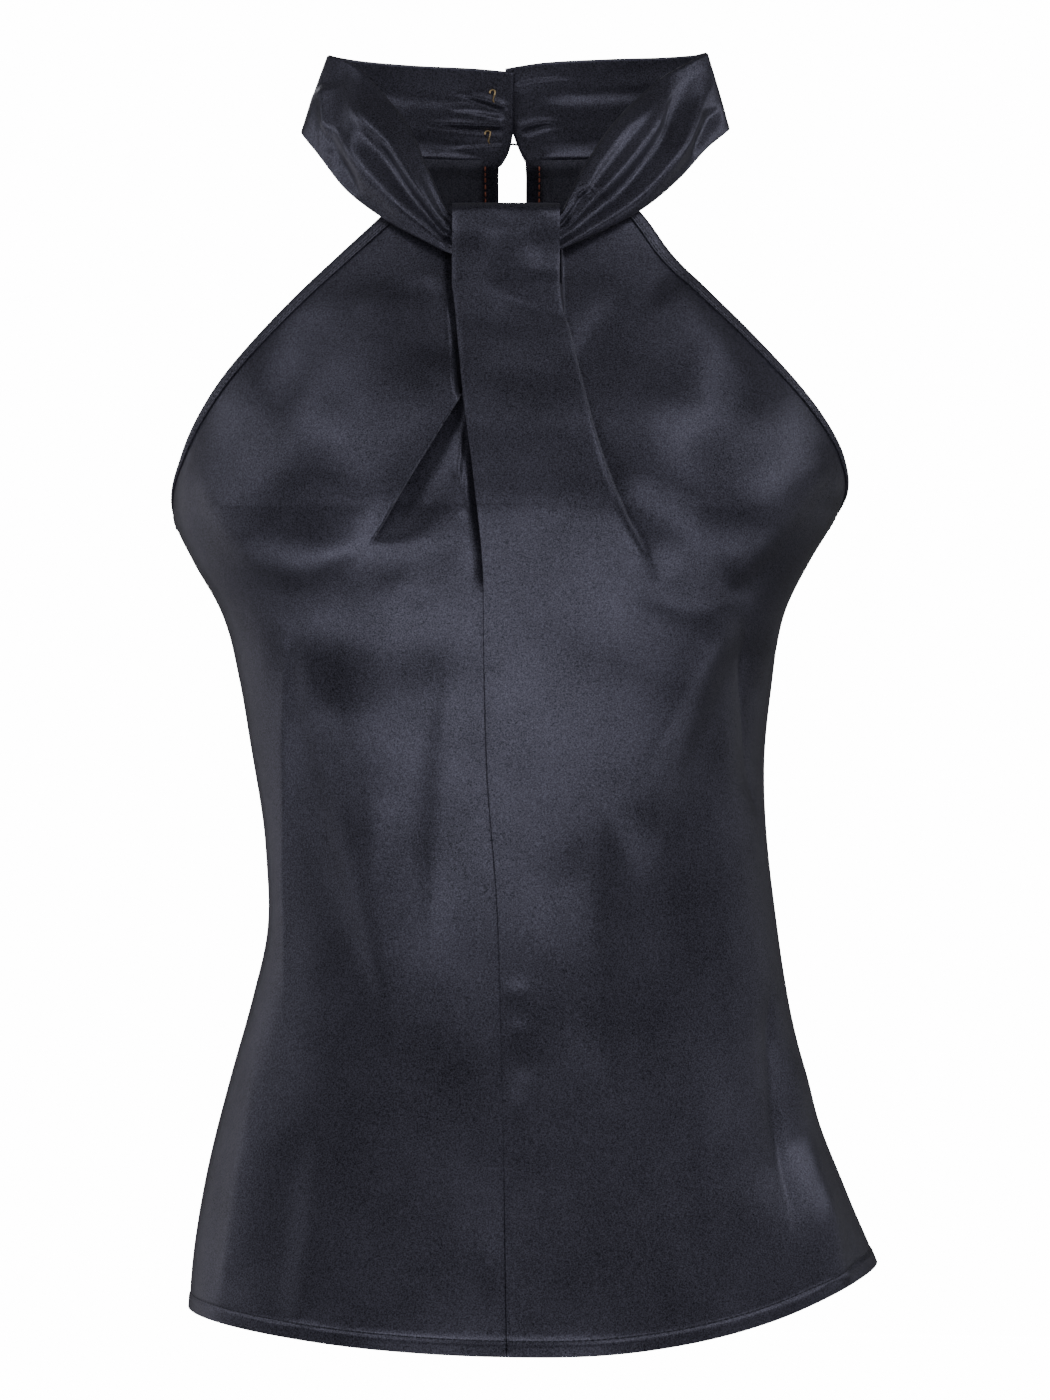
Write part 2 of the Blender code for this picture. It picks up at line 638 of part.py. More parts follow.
def fastenings(collection):
    """Two covered buttons on the collar's left end, their shanks inside, and two loops on the right end."""
    brass = principled("brass", BRASS, BRASS_ROUGHNESS, 1)
    thread = principled("thread", SATIN, 0.7, 0)
    tall = COLLAR_LEFT["upper_z"][-2] - COLLAR_SEAM
    steps = np.linspace(0.9, 1, 101)
    reach = BUTTON_NECK + SEAM_GAP + THREAD_LOOP
    for place, height, x in zip(("bottom", "top"), BUTTONS["height"], BUTTONS["x"]):
        outer, inner = collar_left(steps, np.full(101, (height - COLLAR_SEAM) / tall))
        near = np.argmin(np.abs(outer[:, 0] - x))
        seat = outer[near, 1] + SEAM_GAP
        button(f"button_{place}", (x, seat, height), collection)
        lie = inner[near, 1] - SEAM_GAP - SHANK_WIRE
        bend = [(x + across, lie - 0.35 * (3.5 - abs(rise)), height + rise) for across, rise in SHANK_BEND]
        wire(f"shank_{place}", bend, SHANK_WIRE, brass, collection)
        middle = seat + BUTTON_NECK_HEIGHT / 2
        turns = np.linspace(np.pi / 3, 5 * np.pi / 3, 7)
        ring = [(x + reach * np.cos(a), middle, height + reach * np.sin(a)) for a in turns]
        upper = [loop_leg(height + reach, tall, x, middle, way) for way in LEG_WAYS]
        lower = [loop_leg(height - reach, tall, x, middle, way) for way in LEG_WAYS]
        wire(f"button_loop_{place}", [*upper, *ring, *lower[::-1]], THREAD_LOOP, thread, collection)


def loop_leg(z, tall, x, middle, way):
    """A point of a button loop's leg, from the right end's outer side, round its edge, to the button."""
    edge_x, edge_y, _ = collar_right(np.array([1.0]), np.array([(z - COLLAR_SEAM) / tall]))[0][0]
    beyond, out = way
    if beyond is None:
        return (x + out, middle, z)
    return (edge_x + beyond, edge_y + SEAM_GAP + THREAD_LOOP + out, z)


def build():
    for obj in list(bpy.data.objects):
        bpy.data.objects.remove(obj)
    collection = bpy.data.collections.new("halter_top")
    bpy.context.scene.collection.children.link(collection)
    panels(collection)
    left = spaced((-1, 5), (-0.86, 9), (-0.4, 10), (0, 0))
    around = np.concatenate([left, -left[-2::-1]])
    cloth("collar", collar, around, np.linspace(0, 1, 9), collection)
    fastenings(collection)


build()
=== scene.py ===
import bpy
import numpy as np
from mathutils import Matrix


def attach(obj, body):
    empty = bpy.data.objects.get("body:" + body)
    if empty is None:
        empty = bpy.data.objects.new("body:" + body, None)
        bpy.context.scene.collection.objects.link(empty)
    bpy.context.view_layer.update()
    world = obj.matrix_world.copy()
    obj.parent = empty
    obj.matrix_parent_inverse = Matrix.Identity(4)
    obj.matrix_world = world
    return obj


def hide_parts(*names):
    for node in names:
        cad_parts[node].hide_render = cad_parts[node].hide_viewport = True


# A sleeveless halter-neck top in heavy dark satin, filled out as when it is worn.
# Sizes in the tables are millimetres and degrees. X is right in the picture, -Y is the front, Z is up.
# The origin is the middle of the neck opening, level with the seam under the back of the collar.

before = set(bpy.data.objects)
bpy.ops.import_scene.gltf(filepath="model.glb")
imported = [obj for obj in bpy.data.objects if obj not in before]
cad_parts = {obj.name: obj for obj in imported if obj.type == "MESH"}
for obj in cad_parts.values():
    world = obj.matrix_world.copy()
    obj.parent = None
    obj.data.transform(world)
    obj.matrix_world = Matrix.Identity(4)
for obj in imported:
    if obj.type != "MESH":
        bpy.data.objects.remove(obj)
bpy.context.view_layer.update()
mm = 0.001
print("frame loaded:", len(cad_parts), "solids")


def table(columns, *rows):
    # one array for each named column; the first column rises
    return dict(zip(columns.split(), np.array(rows, float).T))


def read(rows, column, at):
    # a smooth curve (cubic Hermite pieces) through one column, over the first column
    knots = next(iter(rows.values()))
    values = rows[column]
    slopes = np.gradient(values, knots)
    at = np.clip(np.asarray(at, float), knots[0], knots[-1])
    low = np.clip(np.searchsorted(knots, at) - 1, 0, len(knots) - 2)
    span = knots[low + 1] - knots[low]
    t = (at - knots[low]) / span
    ease = t * t * (3 - 2 * t)
    bend = slopes[low] * t * (1 - t) ** 2 - slopes[low + 1] * t * t * (1 - t)
    return values[low] * (1 - ease) + values[low + 1] * ease + span * bend


def smooth(t):
    t = np.clip(t, 0, 1)
    return t * t * (3 - 2 * t)


def bell(distance, width):
    return np.exp(-((distance / width) ** 2))


def spaced(*stops):
    # grid lines from (value, cells up to the next value) pairs; the last pair has no cells
    runs = [np.linspace(a, b, n, endpoint=False) for (a, n), (b, _) in zip(stops, stops[1:])]
    return np.concatenate([*runs, [stops[-1][0]]])


def unit(vectors):
    return vectors / np.maximum(np.linalg.norm(vectors, axis=-1, keepdims=True), 1e-9)


shell = {
    "wall": 0.9,  # the cloth
    "seamGap": 0.04,
    "hem": -586.0,
    "hemDepth": 7.5,
    "hemProud": 0.5,
    "hemPull": 0.35,  # the stitching pulls it in
    "hemLiftTop": -440.0,
    "hemRise": {"left": 11.0, "right": 33.0},  # at the side seams
    "hemSharpness": {"left": 1.5, "right": 2.6},
    "underarm": -176.0,
    "frontTop": -47.0,
    "frontTopRise": 25.0,
    "riseBottom": -100.0,
    "backTop": 9.0,
    "topTuck": 3.2,  # how far inwards the backs' tops lie, inside the collar
    "seamTop": -212.0,
    "seamOpening": 14.0,
    "seamTurn": 1.6,  # the left front's edge is turned in below the right one's
    "underlap": 14.0,  # how far the left front goes on below the flap
    "tuck": 3.2,  # how far inwards it steps there
    "tuckRun": 4.5,
    "split": -66.0,  # the flap turns into the loop here
    "flatness": 0.85,  # power of the cosine in a section
    "bindingWidth": 7.0,
    "facingWidth": 8.0,
    "keyholeEnd": -118.0,
}
# half the width on each side and the turn of the edge; the two outlines share their lower rows
sideRows = (
    (-586, 163, 184, 90),
    (-560, 161, 174, 90),
    (-530, 157, 165, 90),
    (-500, 151.5, 157, 90),
    (-460, 142, 148.5, 90),
    (-420, 131, 139.5, 90),
    (-380, 122, 133.5, 90),
    (-340, 123, 129, 90),
    (-300, 129.5, 127.8, 90),
    (-260, 137, 131.8, 90),
    (-220, 147.5, 137.5, 90),
    (-200, 159, 147, 90),
)
frontEdge = table(
    "height left right turn",
    *sideRows,
    (-176, 169.5, 162.5, 90),
    (-166, 168, 165.5, 84),
    (-150, 161.5, 162, 76),
    (-130, 151.5, 150, 68),
    (-110, 138.5, 134, 61),
    (-90, 122, 116, 55),
    (-70, 104, 97, 50.5),
    (-50, 84.5, 78.5, 47),
    (-30, 64, 65, 43),
    (-19, 53, 55.5, 41),
)
backEdge = table(
    "height left right turn",
    *sideRows,
    (-176, 169.5, 162, 90),
    (-160, 164, 157, 80),
    (-140, 152, 146, 71),
    (-110, 130, 126, 60),
    (-80, 110, 107, 52),
    (-50, 88, 86, 46.5),
    (-25, 67, 66, 43),
    (-10, 59, 59, 41.5),
    (6, 58, 58, 41),
)
depthOf = table(
    "height front back",
    (-586, 119, 104),
    (-530, 112, 105),
    (-480, 104.5, 101),
    (-430, 98, 92),
    (-380, 95.5, 84),
    (-340, 97, 80),
    (-300, 100.5, 80),
    (-260, 105.5, 84),
    (-220, 111, 90),
    (-190, 114.5, 94),
    (-160, 113.5, 97),
    (-130, 106.5, 99.5),
    (-100, 93, 99),
    (-80, 81.5, 95.5),
    (-60, 69.5, 89.5),
    (-45, 61.5, 83),
    (-30, 54, 75),
    (-10, 47, 64.5),
    (6, 44, 57.5),
)
frontMiddle = table(
    "height x",
    (-586, -2),
    (-450, -4.5),
    (-367, -7),
    (-304, -11.8),
    (-240, -13.2),
    (-205, -13.6),
    (-160, -18),
    (-112, -24),
    (-80, -27),
    (-50, -29),
)

# Folds run from start by way of bend to end. Their left hand is raised, their right hand has the
# height given as beyond, and they die out over the shares fadeIn and fadeOut of their length.
foldColumns = "startX startZ bendX bendZ endX endZ raised leftWidth beyond rightWidth crisp fadeIn fadeOut"
# Sharper creases: an upright ridge, or with a negative height a valley, with its own slope on each hand
creaseColumns = "startX startZ bendX bendZ endX endZ height leftWidth rightWidth rounding fadeIn fadeOut"
# Single hollows and swellings: height, and half-widths across and along a direction that is turned
bumpColumns = "x z height wide tall turned"


def bendAt(row, t):
    # the place (1-t)^2 start + 2t(1-t) bend + t^2 end on a curve, and the curve's direction there
    x0, z0, x1, z1, x2, z2 = row[:6]
    placeX = (1 - t) ** 2 * x0 + 2 * t * (1 - t) * x1 + t * t * x2
    placeZ = (1 - t) ** 2 * z0 + 2 * t * (1 - t) * z1 + t * t * z2
    alongX = 2 * (1 - t) * (x1 - x0) + 2 * t * (x2 - x1)
    alongZ = 2 * (1 - t) * (z1 - z0) + 2 * t * (z2 - z1)
    return placeX, placeZ, alongX, alongZ


def nearestOnBend(row, x, z):
    # The nearest place on the curve: the best of 25 samples, then two Newton steps. Gives the share
    # t, the distance, positive on the left hand, and the curve's direction.
    x0, z0, x1, z1, x2, z2 = row[:6]
    bendX, bendZ = 2 * (x2 - 2 * x1 + x0), 2 * (z2 - 2 * z1 + z0)
    t = np.linspace(0, 1, 25)
    lineX, lineZ, _, _ = bendAt(row, t)
    t = t[np.argmin((x[:, None] - lineX) ** 2 + (z[:, None] - lineZ) ** 2, axis=1)]
    for _ in range(2):
        placeX, placeZ, alongX, alongZ = bendAt(row, t)
        slope = (placeX - x) * alongX + (placeZ - z) * alongZ
        curve = alongX**2 + alongZ**2 + (placeX - x) * bendX + (placeZ - z) * bendZ
        t = np.clip(t - slope / np.maximum(curve, 1), 0, 1)
    placeX, placeZ, alongX, alongZ = bendAt(row, t)
    length = np.hypot(alongX, alongZ)
    off = (alongX * (z - placeZ) - alongZ * (x - placeX)) / length
    return t, off, alongX / length, alongZ / length


def fading(t, fadeIn, fadeOut):
    return smooth(t / fadeIn) * smooth((1 - t) / fadeOut)


def besideBend(row, x, z, reach):
    # Which points lie near a bend, how strong it is there and how far off they are. The distances
    # are stretched towards its ends, where folds grow lower and narrower.
    near = (x > min(row[0:5:2]) - reach) & (x < max(row[0:5:2]) + reach)
    near &= (z > min(row[1:6:2]) - reach) & (z < max(row[1:6:2]) + reach)
    t, off, _, _ = nearestOnBend(row, x[near], z[near])
    strength = fading(t, *row[-2:])
    return near, strength, off / (0.35 + 0.65 * strength)


def foldRelief(folds, x, z):
    # The height of each fold is one bell curve on its left hand and another on its right, blended by
    # a hyperbolic tangent as steep as the fold is crisp.
    total = np.zeros(x.shape)
    for row in zip(*folds.values()):
        raised, leftWidth, beyond, rightWidth, crisp = row[6:11]
        near, strength, off = besideBend(row, x, z, 2.6 * max(leftWidth, rightWidth))
        onLeft = 0.5 * (1 + np.tanh(off / crisp))
        height = onLeft * raised * bell(off, leftWidth) + (1 - onLeft) * beyond * bell(off, rightWidth)
        total[near] += height * strength
    return total


def creaseRelief(creases, x, z):
    # The height of each crease falls by the exponential of the distance over the width on that hand,
    # its top rounded: the square root of distance squared plus rounding squared stands for distance.
    total = np.zeros(x.shape)
    for row in zip(*creases.values()):
        height, leftWidth, rightWidth, rounding = row[6:10]
        near, strength, off = besideBend(row, x, z, 4.5 * max(leftWidth, rightWidth))
        away = np.sqrt(off**2 + rounding**2) - rounding
        steep = np.where(off > 0, leftWidth, rightWidth)
        total[near] += height * (np.exp(-away / steep) - 0.011) * strength
    return total


def bumpRelief(bumps, x, z):
    # a sum of bell-shaped swellings, each turned by its own angle
    total = np.zeros(x.shape)
    for bumpX, bumpZ, height, wide, tall, turned in zip(*bumps.values()):
        cos, sin = np.cos(np.radians(turned)), np.sin(np.radians(turned))
        along = (x - bumpX) * cos + (z - bumpZ) * sin
        across = (z - bumpZ) * cos - (x - bumpX) * sin
        total += height * bell(along, wide) * bell(across, tall)
    return total


def overhang(off, reach, width):
    # how far points near a crease move across it: to and fro like the derivative of a bell curve
    return reach * off / width * bell(off, 1.4 * width)


longWaves = ((83, 0.20), (57, 0.10), (33, 0.05), (19, 0.03))  # length and height


def unevenness(x, z, seed):
    # a few long waves in set directions, so that no large area is quite plain
    total = np.zeros(x.shape)
    for k, (length, height) in enumerate(longWaves):
        angle = 1.3 * seed + 2.1 * k
        far = x * np.cos(angle) + z * np.sin(angle) * 0.6
        total += height * np.sin(2 * np.pi * far / length + seed * (k + 1))
    return total


# the middle of each side of the bust, how far it stands out, and its reach to each hand
cups = table(
    "x z out inner outer above below",
    (-90, -178, 16.5, 62, 62, 76, 47),
    (92, -178, 16.5, 62, 60, 76, 48),
)


def cupRelief(x, z):
    total = np.zeros(x.shape)
    for cupX, cupZ, out, inner, outer, above, below in zip(*cups.values()):
        inwards = np.sign(-cupX) * (x - cupX) > 0
        wide = np.where(inwards, inner, outer)
        tall = below + (above - below) * (0.5 + 0.5 * np.tanh((z - cupZ) / 22))
        total += out * bell(x - cupX, wide) * bell(z - cupZ, tall)
    return total


def sideEdge(rows, height, side):
    # half the width of the whole oval that a section is part of, and the turn at its outer edge
    turn = np.radians(read(rows, "turn", height))
    return read(rows, side, height) / np.sin(turn), turn


def middleHalf(rows, height, side):
    # the same half width, averaged over 56 mm of height, so that the corner at the armhole's foot
    # leaves no crease across the middle of the panel
    return sum(sideEdge(rows, height + step, side)[0] for step in (-28, -19, -9, 0, 9, 19, 28)) / 7


def hemLift(turn, height, side):
    low = smooth((shell["hemLiftTop"] - height) / (shell["hemLiftTop"] - shell["hem"]))
    return shell["hemRise"][side] * np.abs(np.sin(turn)) ** shell["hemSharpness"][side] * low


def oval(turn, half, depth, facing):
    # A horizontal section: half times the sine across, depth times a power of the cosine to the
    # front (facing -1) or the back (facing 1). Gives places and outward directions.
    ahead = np.maximum(np.cos(turn), 0)
    x = half * np.sin(turn)
    y = facing * (depth * ahead ** shell["flatness"] + shell["seamGap"] / 2)
    outX = np.sin(turn) / half
    outY = facing * ahead / depth
    length = np.hypot(outX, outY)
    return x, y, outX / length, outY / length


def section(rows, facing, turn, height, half, side):
    # The oval at a height, which goes over near the side into the one that meets the panel's edge.
    # Gives places, outward directions and how much of the folds is left towards the side seam.
    edgeHalf, edge = sideEdge(rows, height, side)
    half = half + (edgeHalf - half) * smooth((np.abs(turn) / edge - 0.6) / 0.4)
    depth = read(depthOf, "front" if facing < 0 else "back", height)
    return *oval(turn, half, depth, facing), smooth(1.6 * np.sqrt(np.maximum(np.cos(turn), 0)))


def turnAt(x, half):
    return np.arcsin(np.clip(x / half, -1, 1))


def twoSpans(u, first, second, third):
    # evenly from the first value at 0 to the second at 1 and the third at 2
    onwards = second + (third - second) * np.maximum(u - 1, 0)
    return np.where(u < 1, first + (second - first) * np.minimum(u, 1), onwards)


def topRise(share, height):
    climb = smooth((height - shell["riseBottom"]) / (shell["frontTop"] - shell["riseBottom"]))
    return shell["frontTopRise"] * share**1.2 * climb


def hemRelief(height):
    # the turned-up hem stands a little proud below its stitching, which is pulled in
    low = height - shell["hem"]
    rolled = 0.9 + 0.1 * np.clip(low / shell["hemDepth"], 0, 1)
    proud = shell["hemProud"] * smooth((shell["hemDepth"] - low) / 1.6) * rolled
    return proud - shell["hemPull"] * bell(low - shell["hemDepth"], 0.9)


def frontCloth(turn, height, half, side, relief, extra):
    # A point of the front: the oval, moved along its outward direction by cups, folds and hollows.
    z = height + hemLift(turn, height, side)
    x, y, outX, outY, atSeam = section(frontEdge, -1, turn, height, half, side)
    middle = read(frontMiddle, "x", height)
    closed = smooth((shell["seamTop"] - height) / 10)
    pucker = 0.10 * np.sin(2 * np.pi * height / 4.3) * bell(x - middle, 2.6)
    seam = (pucker - 0.05 * bell(x - middle, 1.2)) * closed
    lift = (cupRelief(x, z) + relief(x, z)) * atSeam + extra + seam + hemRelief(height)
    return np.stack([x + outX * lift, y + outY * lift, z], -1), outX, outY


# where the grid of the left front runs along the pleat that comes out from under the flap
leftPleat = table(
    "height x",
    (-586, -72),
    (-300, -72),
    (-225, -71),
    (-205, -68),
    (-192, -62.8),
    (-158, -44.8),
    (-119.6, -23.4),
    (-105, -20.5),
    (-80, -20.5),
    (-47, -22.5),
)
leftPleatFold = table(foldColumns, (-65, -196, -47.5, -160.5, -14, -103, 3.8, 26, -5.4, 13, 0.5, 0.3, 0.14))
leftOverlap = {"reach": 3.4, "width": 1.2}  # how far the pleat's fold hangs over itself
leftFolds = table(
    foldColumns,
    (-106, -232, -92, -315, -52, -470, 1.6, 40, -2.8, 26, 9, 0.25, 0.35),  # the flank falls away
    (-156, -148, -114, -246, -64, -192, 2.5, 24, 0.3, 18, 6.5, 0.2, 0.25),  # roll under the cup
    (-20, -128, -25, -150, -23, -172, -1.4, 3, 1.0, 6, 1.0, 0.3, 0.3),  # double crease by the flap
    (-60, -215, -48, -226, -30, -222, 0.4, 10, -0.4, 10, 5, 0.4, 0.4),
    (-41, -60, -44, -90, -38, -128, -1.5, 8, -1.5, 9, 3, 0.15, 0.4),  # hollows below the collar
    (-60, -62, -68, -98, -66, -140, 1.3, 13, 1.3, 13, 5, 0.2, 0.4),
    (-92, -74, -100, -104, -112, -136, -1.2, 11, -1.2, 11, 4, 0.3, 0.4),
    (-92, -262, -70, -300, -66, -360, 1.0, 14, -0.8, 16, 5, 0.3, 0.4),
    (-30, -250, -44, -320, -40, -400, 0.9, 14, -0.7, 18, 6, 0.4, 0.4),
    (-60, -420, -30, -470, -20, -560, 1.2, 24, -1.0, 26, 9, 0.4, 0.4),
    (-128, -440, -140, -500, -146, -570, 2.2, 16, -1.4, 18, 6, 0.4, 0.3),
    (-96, -470, -104, -530, -108, -580, 1.8, 22, -1.4, 22, 9, 0.4, 0.2),
)
leftCreases = table(
    creaseColumns,
    (-108, -206, -108.5, -320, -113, -430, 4.2, 9, 26, 0.8, 0.45, 0.35),  # turn towards the side
    (-28, -150, -22, -172, -20.5, -186, 1.0, 3, 3, 0.3, 0.3, 0.3),
    (-102, -226, -88, -310, -50, -452, 4.6, 42, 22, 5, 0.3, 0.45),  # ridge down from the cup
)
leftBumps = table(
    bumpColumns,
    (-52, -186, -1.2, 10, 9, 20),  # pit at the end of the pleat
    (-24, -202, -0.9, 8, 8, 20),
    (-106, -270, 1.6, 28, 34, 0),  # the cloth hangs flat below the cup
    (-52, -216, -0.6, 11, 7, 14),
    (-84, -178, -1.8, 24, 20, 20),
    (-86, -140, 1.4, 22, 18, -30),
    (-30, -262, 0.9, 14, 22, 0),
    (-70, -470, 1.0, 26, 34, 12),
    (-70, -584, 3.4, 50, 40, 0),
    (-10, -540, -0.9, 7, 16, 0),
)


def frontLeft(u, v):
    # u is 0 at the side seam and armhole, 1 along the pleat and 2 at the middle. v is the height.
    share = np.clip(1 - u / 2, 0, 1)
    height = v + topRise(share, v)
    edge = sideEdge(frontEdge, height, "left")[1]
    half = middleHalf(frontEdge, height, "left")
    line = read(frontMiddle, "x", height) - shell["seamGap"] / 2
    opened = smooth((v - shell["seamTop"]) / shell["seamOpening"] + 0.6)
    under = smooth((v - shell["seamTop"]) / 3 / shell["seamOpening"])
    middle = turnAt(line + shell["seamTurn"] + (shell["underlap"] - shell["seamTurn"]) * under, half)
    pleat = turnAt(read(leftPleat, "x", height), half)
    turn = twoSpans(u, -edge, pleat, middle)
    flatX = half * np.sin(turn)
    tucked = smooth((flatX - line + shell["tuckRun"]) / shell["tuckRun"]) * opened

    def relief(x, z):
        plain = foldRelief(leftPleatFold, x, z) + foldRelief(leftFolds, x, z)
        plain += creaseRelief(leftCreases, x, z) + bumpRelief(leftBumps, x, z)
        return (plain + unevenness(x, z, 1.0)) * (1 - tucked)

    turnedIn = 1.3 * smooth((flatX - line + 0.1) / 0.5) * (1 - opened)
    outer, outX, outY = frontCloth(turn, height, half, "left", relief, -shell["tuck"] * tucked - turnedIn)
    # The pleat's fold hangs over itself: near its line, points move across it, those on top to the
    # right and those below to the left, by the derivative of a bell curve.
    row = [column[0] for column in leftPleatFold.values()]
    t, off, alongX, alongZ = nearestOnBend(row, flatX.ravel(), outer[..., 2].ravel())
    over = (overhang(off, **leftOverlap) * fading(t, 0.16, 0.2)).reshape(u.shape) * (1 - tucked)
    alongX, alongZ = alongX.reshape(u.shape), alongZ.reshape(u.shape)
    outer[..., 0] += over * alongZ * np.abs(outY)
    outer[..., 1] += over * alongZ * outX
    outer[..., 2] -= over * alongX
    return outer


pleatCrease = table(
    "height x lift drop softness",
    (-586, 70, 0, 0, 6),
    (-300, 68, 0, 0, 6),
    (-225, 68, 0.2, 0.2, 5),
    (-201, 62, 1.4, 1.8, 2.6),
    (-179, 51.3, 2.4, 3.8, 1.4),
    (-140, 38, 2.9, 3.8, 0.8),
    (-108, 31, 2.5, 3.4, 0.7),
    (-95, 28, 2.0, 2.8, 0.7),
    (-85, 26, 2.7, 1.6, 0.7),
    (-75, 24.7, 4.7, 1.2, 0.8),
    (-66, 23.6, 8.2, 1.0, 1.0),
)
hollowWidth = 26.0  # of the hollow beside the flap
rightOverlap = {"reach": 2.6, "width": 1.1}  # how far the flap hangs over that hollow
overlapTop = -76.0  # above it the flap lies free
rightFolds = table(
    foldColumns,
    (168, -560, 160, -520, 150, -480, 2.6, 14, -1.2, 18, 5, 0.1, 0.3),  # flare at the corner
    (157, -152, 126, -188, 98, -220, -0.8, 14, 2.4, 24, 6, 0.25, 0.2),  # roll under the cup
    (103, -218, 86, -228, 56, -213, -0.5, 14, 1.9, 22, 7, 0.3, 0.35),
    (114, -224, 96, -262, 62, -372, -4.0, 46, 2.0, 34, 9, 0.35, 0.4),  # the flank falls away
    (30, -80, 60, -94, 90, -128, -2.0, 14, -2.0, 15, 4, 0.25, 0.35),  # hollows beside the pleat
    (30, -128, 50, -150, 62, -178, 1.2, 14, -1.0, 12, 5, 0.3, 0.3),
    (72, -62, 92, -88, 118, -118, 1.6, 13, 1.6, 12, 4, 0.2, 0.4),
    (74, -214, 62, -213, 46, -196, 0.7, 9, 0.2, 10, 4, 0.35, 0.4),  # ridge round the pleat's end
    (46, -322, 56, -400, 54, -476, -3.0, 26, 2.6, 26, 9, 0.25, 0.35),  # long hollow down the front
    (98, -300, 104, -380, 98, -470, 1.2, 18, -1.0, 18, 8, 0.4, 0.4),
    (86, -440, 96, -500, 92, -560, 1.6, 20, -1.2, 22, 7, 0.4, 0.3),
)
rightCreases = table(
    creaseColumns,
    (106, -219, 88, -252, 38, -350, 5.2, 17, 42, 3.0, 0.3, 0.5),  # ridge down from the cup
    (111, -236, 121, -286, 125, -340, -3.0, 9, 5, 0.4, 0.15, 0.35),  # turn towards the side
    (129, -405, 131, -465, 139, -535, -5.6, 8, 12, 0.8, 0.3, 0.35),
    (16, -86, 26, -92, 34, -104, 0.9, 3, 4, 0.4, 0.3, 0.4),
)
rightBumps = table(
    bumpColumns,
    (100, -154, -2.3, 24, 17, 24),  # hollow in the cup
    (72, -184, -1.9, 20, 13, -20),
    (66, -217, -0.9, 14, 9, -20),
    (3, -412, -0.6, 6, 5, 0),  # ripples beside the seam
    (4, -430, -0.4, 4, 4, 0),
    (6, -447, 0.7, 7, 7, 0),
    (3, -466, -0.4, 5, 6, 0),
    (38, -580, 4.6, 34, 40, -10),
    (149, -462, 1.8, 9, 16, 10),
    (158, -524, 2.0, 9, 14, 15),
    (120, -300, -1.2, 10, 26, -5),
    (20, -255, 1.4, 26, 22, 0),
)
# swellings on the flap that lies over the centre front
flapBumps = table(
    bumpColumns,
    (8, -76, -1.6, 24, 5, -26),  # slanting dip below the loop
    (-12, -84, -0.9, 16, 6, -20),
    (20, -84, 1.2, 8, 2.6, -40),
    (2, -95, 0.9, 22, 8, 0),
    (6, -112, -1.1, 26, 8, -4),
    (8, -137, 1.9, 34, 12, -4),
    (-14, -152, -0.9, 10, 12, 0),
    (16, -172, 1.0, 20, 20, 0),
)


def frontRight(u, v):
    # u is 0 at the side seam and armhole, 1 at the pleat's crease and 2 at its left edge. v is the
    # height, and beyond u = 1 the heights above the split stand for the steps of the loop.
    height = np.where(u > 1, np.minimum(v, shell["split"]), v + topRise(np.clip(1 - u, 0, 1), v))
    edge = sideEdge(frontEdge, height, "right")[1]
    half = middleHalf(frontEdge, height, "right")
    middle = turnAt(read(frontMiddle, "x", height) + shell["seamGap"] / 2, half)
    crease = turnAt(read(pleatCrease, "x", height), half)
    turn = twoSpans(u, edge, crease, middle)
    flatX = half * np.sin(turn)
    creaseX = read(pleatCrease, "x", height)
    opened = smooth((height - shell["seamTop"]) / shell["seamOpening"])
    lift = read(pleatCrease, "lift", height) * smooth((height - shell["seamTop"]) / 40)
    onFlap = 0.5 * (1 - np.tanh((flatX - creaseX) / read(pleatCrease, "softness", height)))
    drop = read(pleatCrease, "drop", height) * bell(flatX - creaseX, hollowWidth)
    pleat = onFlap * lift - (1 - onFlap) * drop
    fromEdge = flatX - read(frontMiddle, "x", height)
    pleat -= 0.25 * bell(fromEdge, 1.4) * opened  # the flap's folded edge is rounded

    def relief(x, z):
        plain = foldRelief(rightFolds, x, z) + creaseRelief(rightCreases, x, z)
        plain += bumpRelief(rightBumps, x, z) + unevenness(x, z, 2.0)
        return plain + bumpRelief(flapBumps, x, z) * onFlap

    outer, outX, outY = frontCloth(turn, height, half, "right", relief, pleat)
    # The flap hangs over the hollow beside it in the same way as the left pleat does.
    off = creaseX - flatX
    over = overhang(off, **rightOverlap)
    over = over * smooth((height - shell["seamTop"] - 8) / 30) * smooth((overlapTop - height) / 14)
    outer[..., 0] -= over * outY
    outer[..., 1] += over * outX
    step = np.clip((v - shell["split"]) / (shell["frontTop"] - shell["split"]), 0, 1)
    inLoop = ((u > 1) & (step > 0))[..., None]
    return np.where(inLoop, loopCloth(outer, step, u), outer)


loopLine = table(
    "step y z",
    (0, -81.5, -66),
    (0.2, -79.8, -52),
    (0.38, -77.2, -37),
    (0.5, -73.2, -28.2),
    (0.6, -66, -25.3),
    (0.7, -57.4, -28.5),
    (0.8, -52.2, -37),
    (1, -50.2, -55),
)
loopShape = {"middle": -3.0, "half": 27.0, "bow": 2.0, "start": 0.25, "slit": 0.012}
# swellings on the loop, where z stands for a hundred times the step along it
loopBumps = table(
    bumpColumns,
    (1, 27, 1.4, 11, 15, 15),
    (13, 26, -1.5, 11, 8, 10),
    (9, 9, 0.5, 12, 5, 0),
    (-16, 20, -1.0, 8, 14, 0),
    (-8, 42, -1.1, 12, 6, -10),
    (14, 44, 0.8, 10, 6, 0),
)


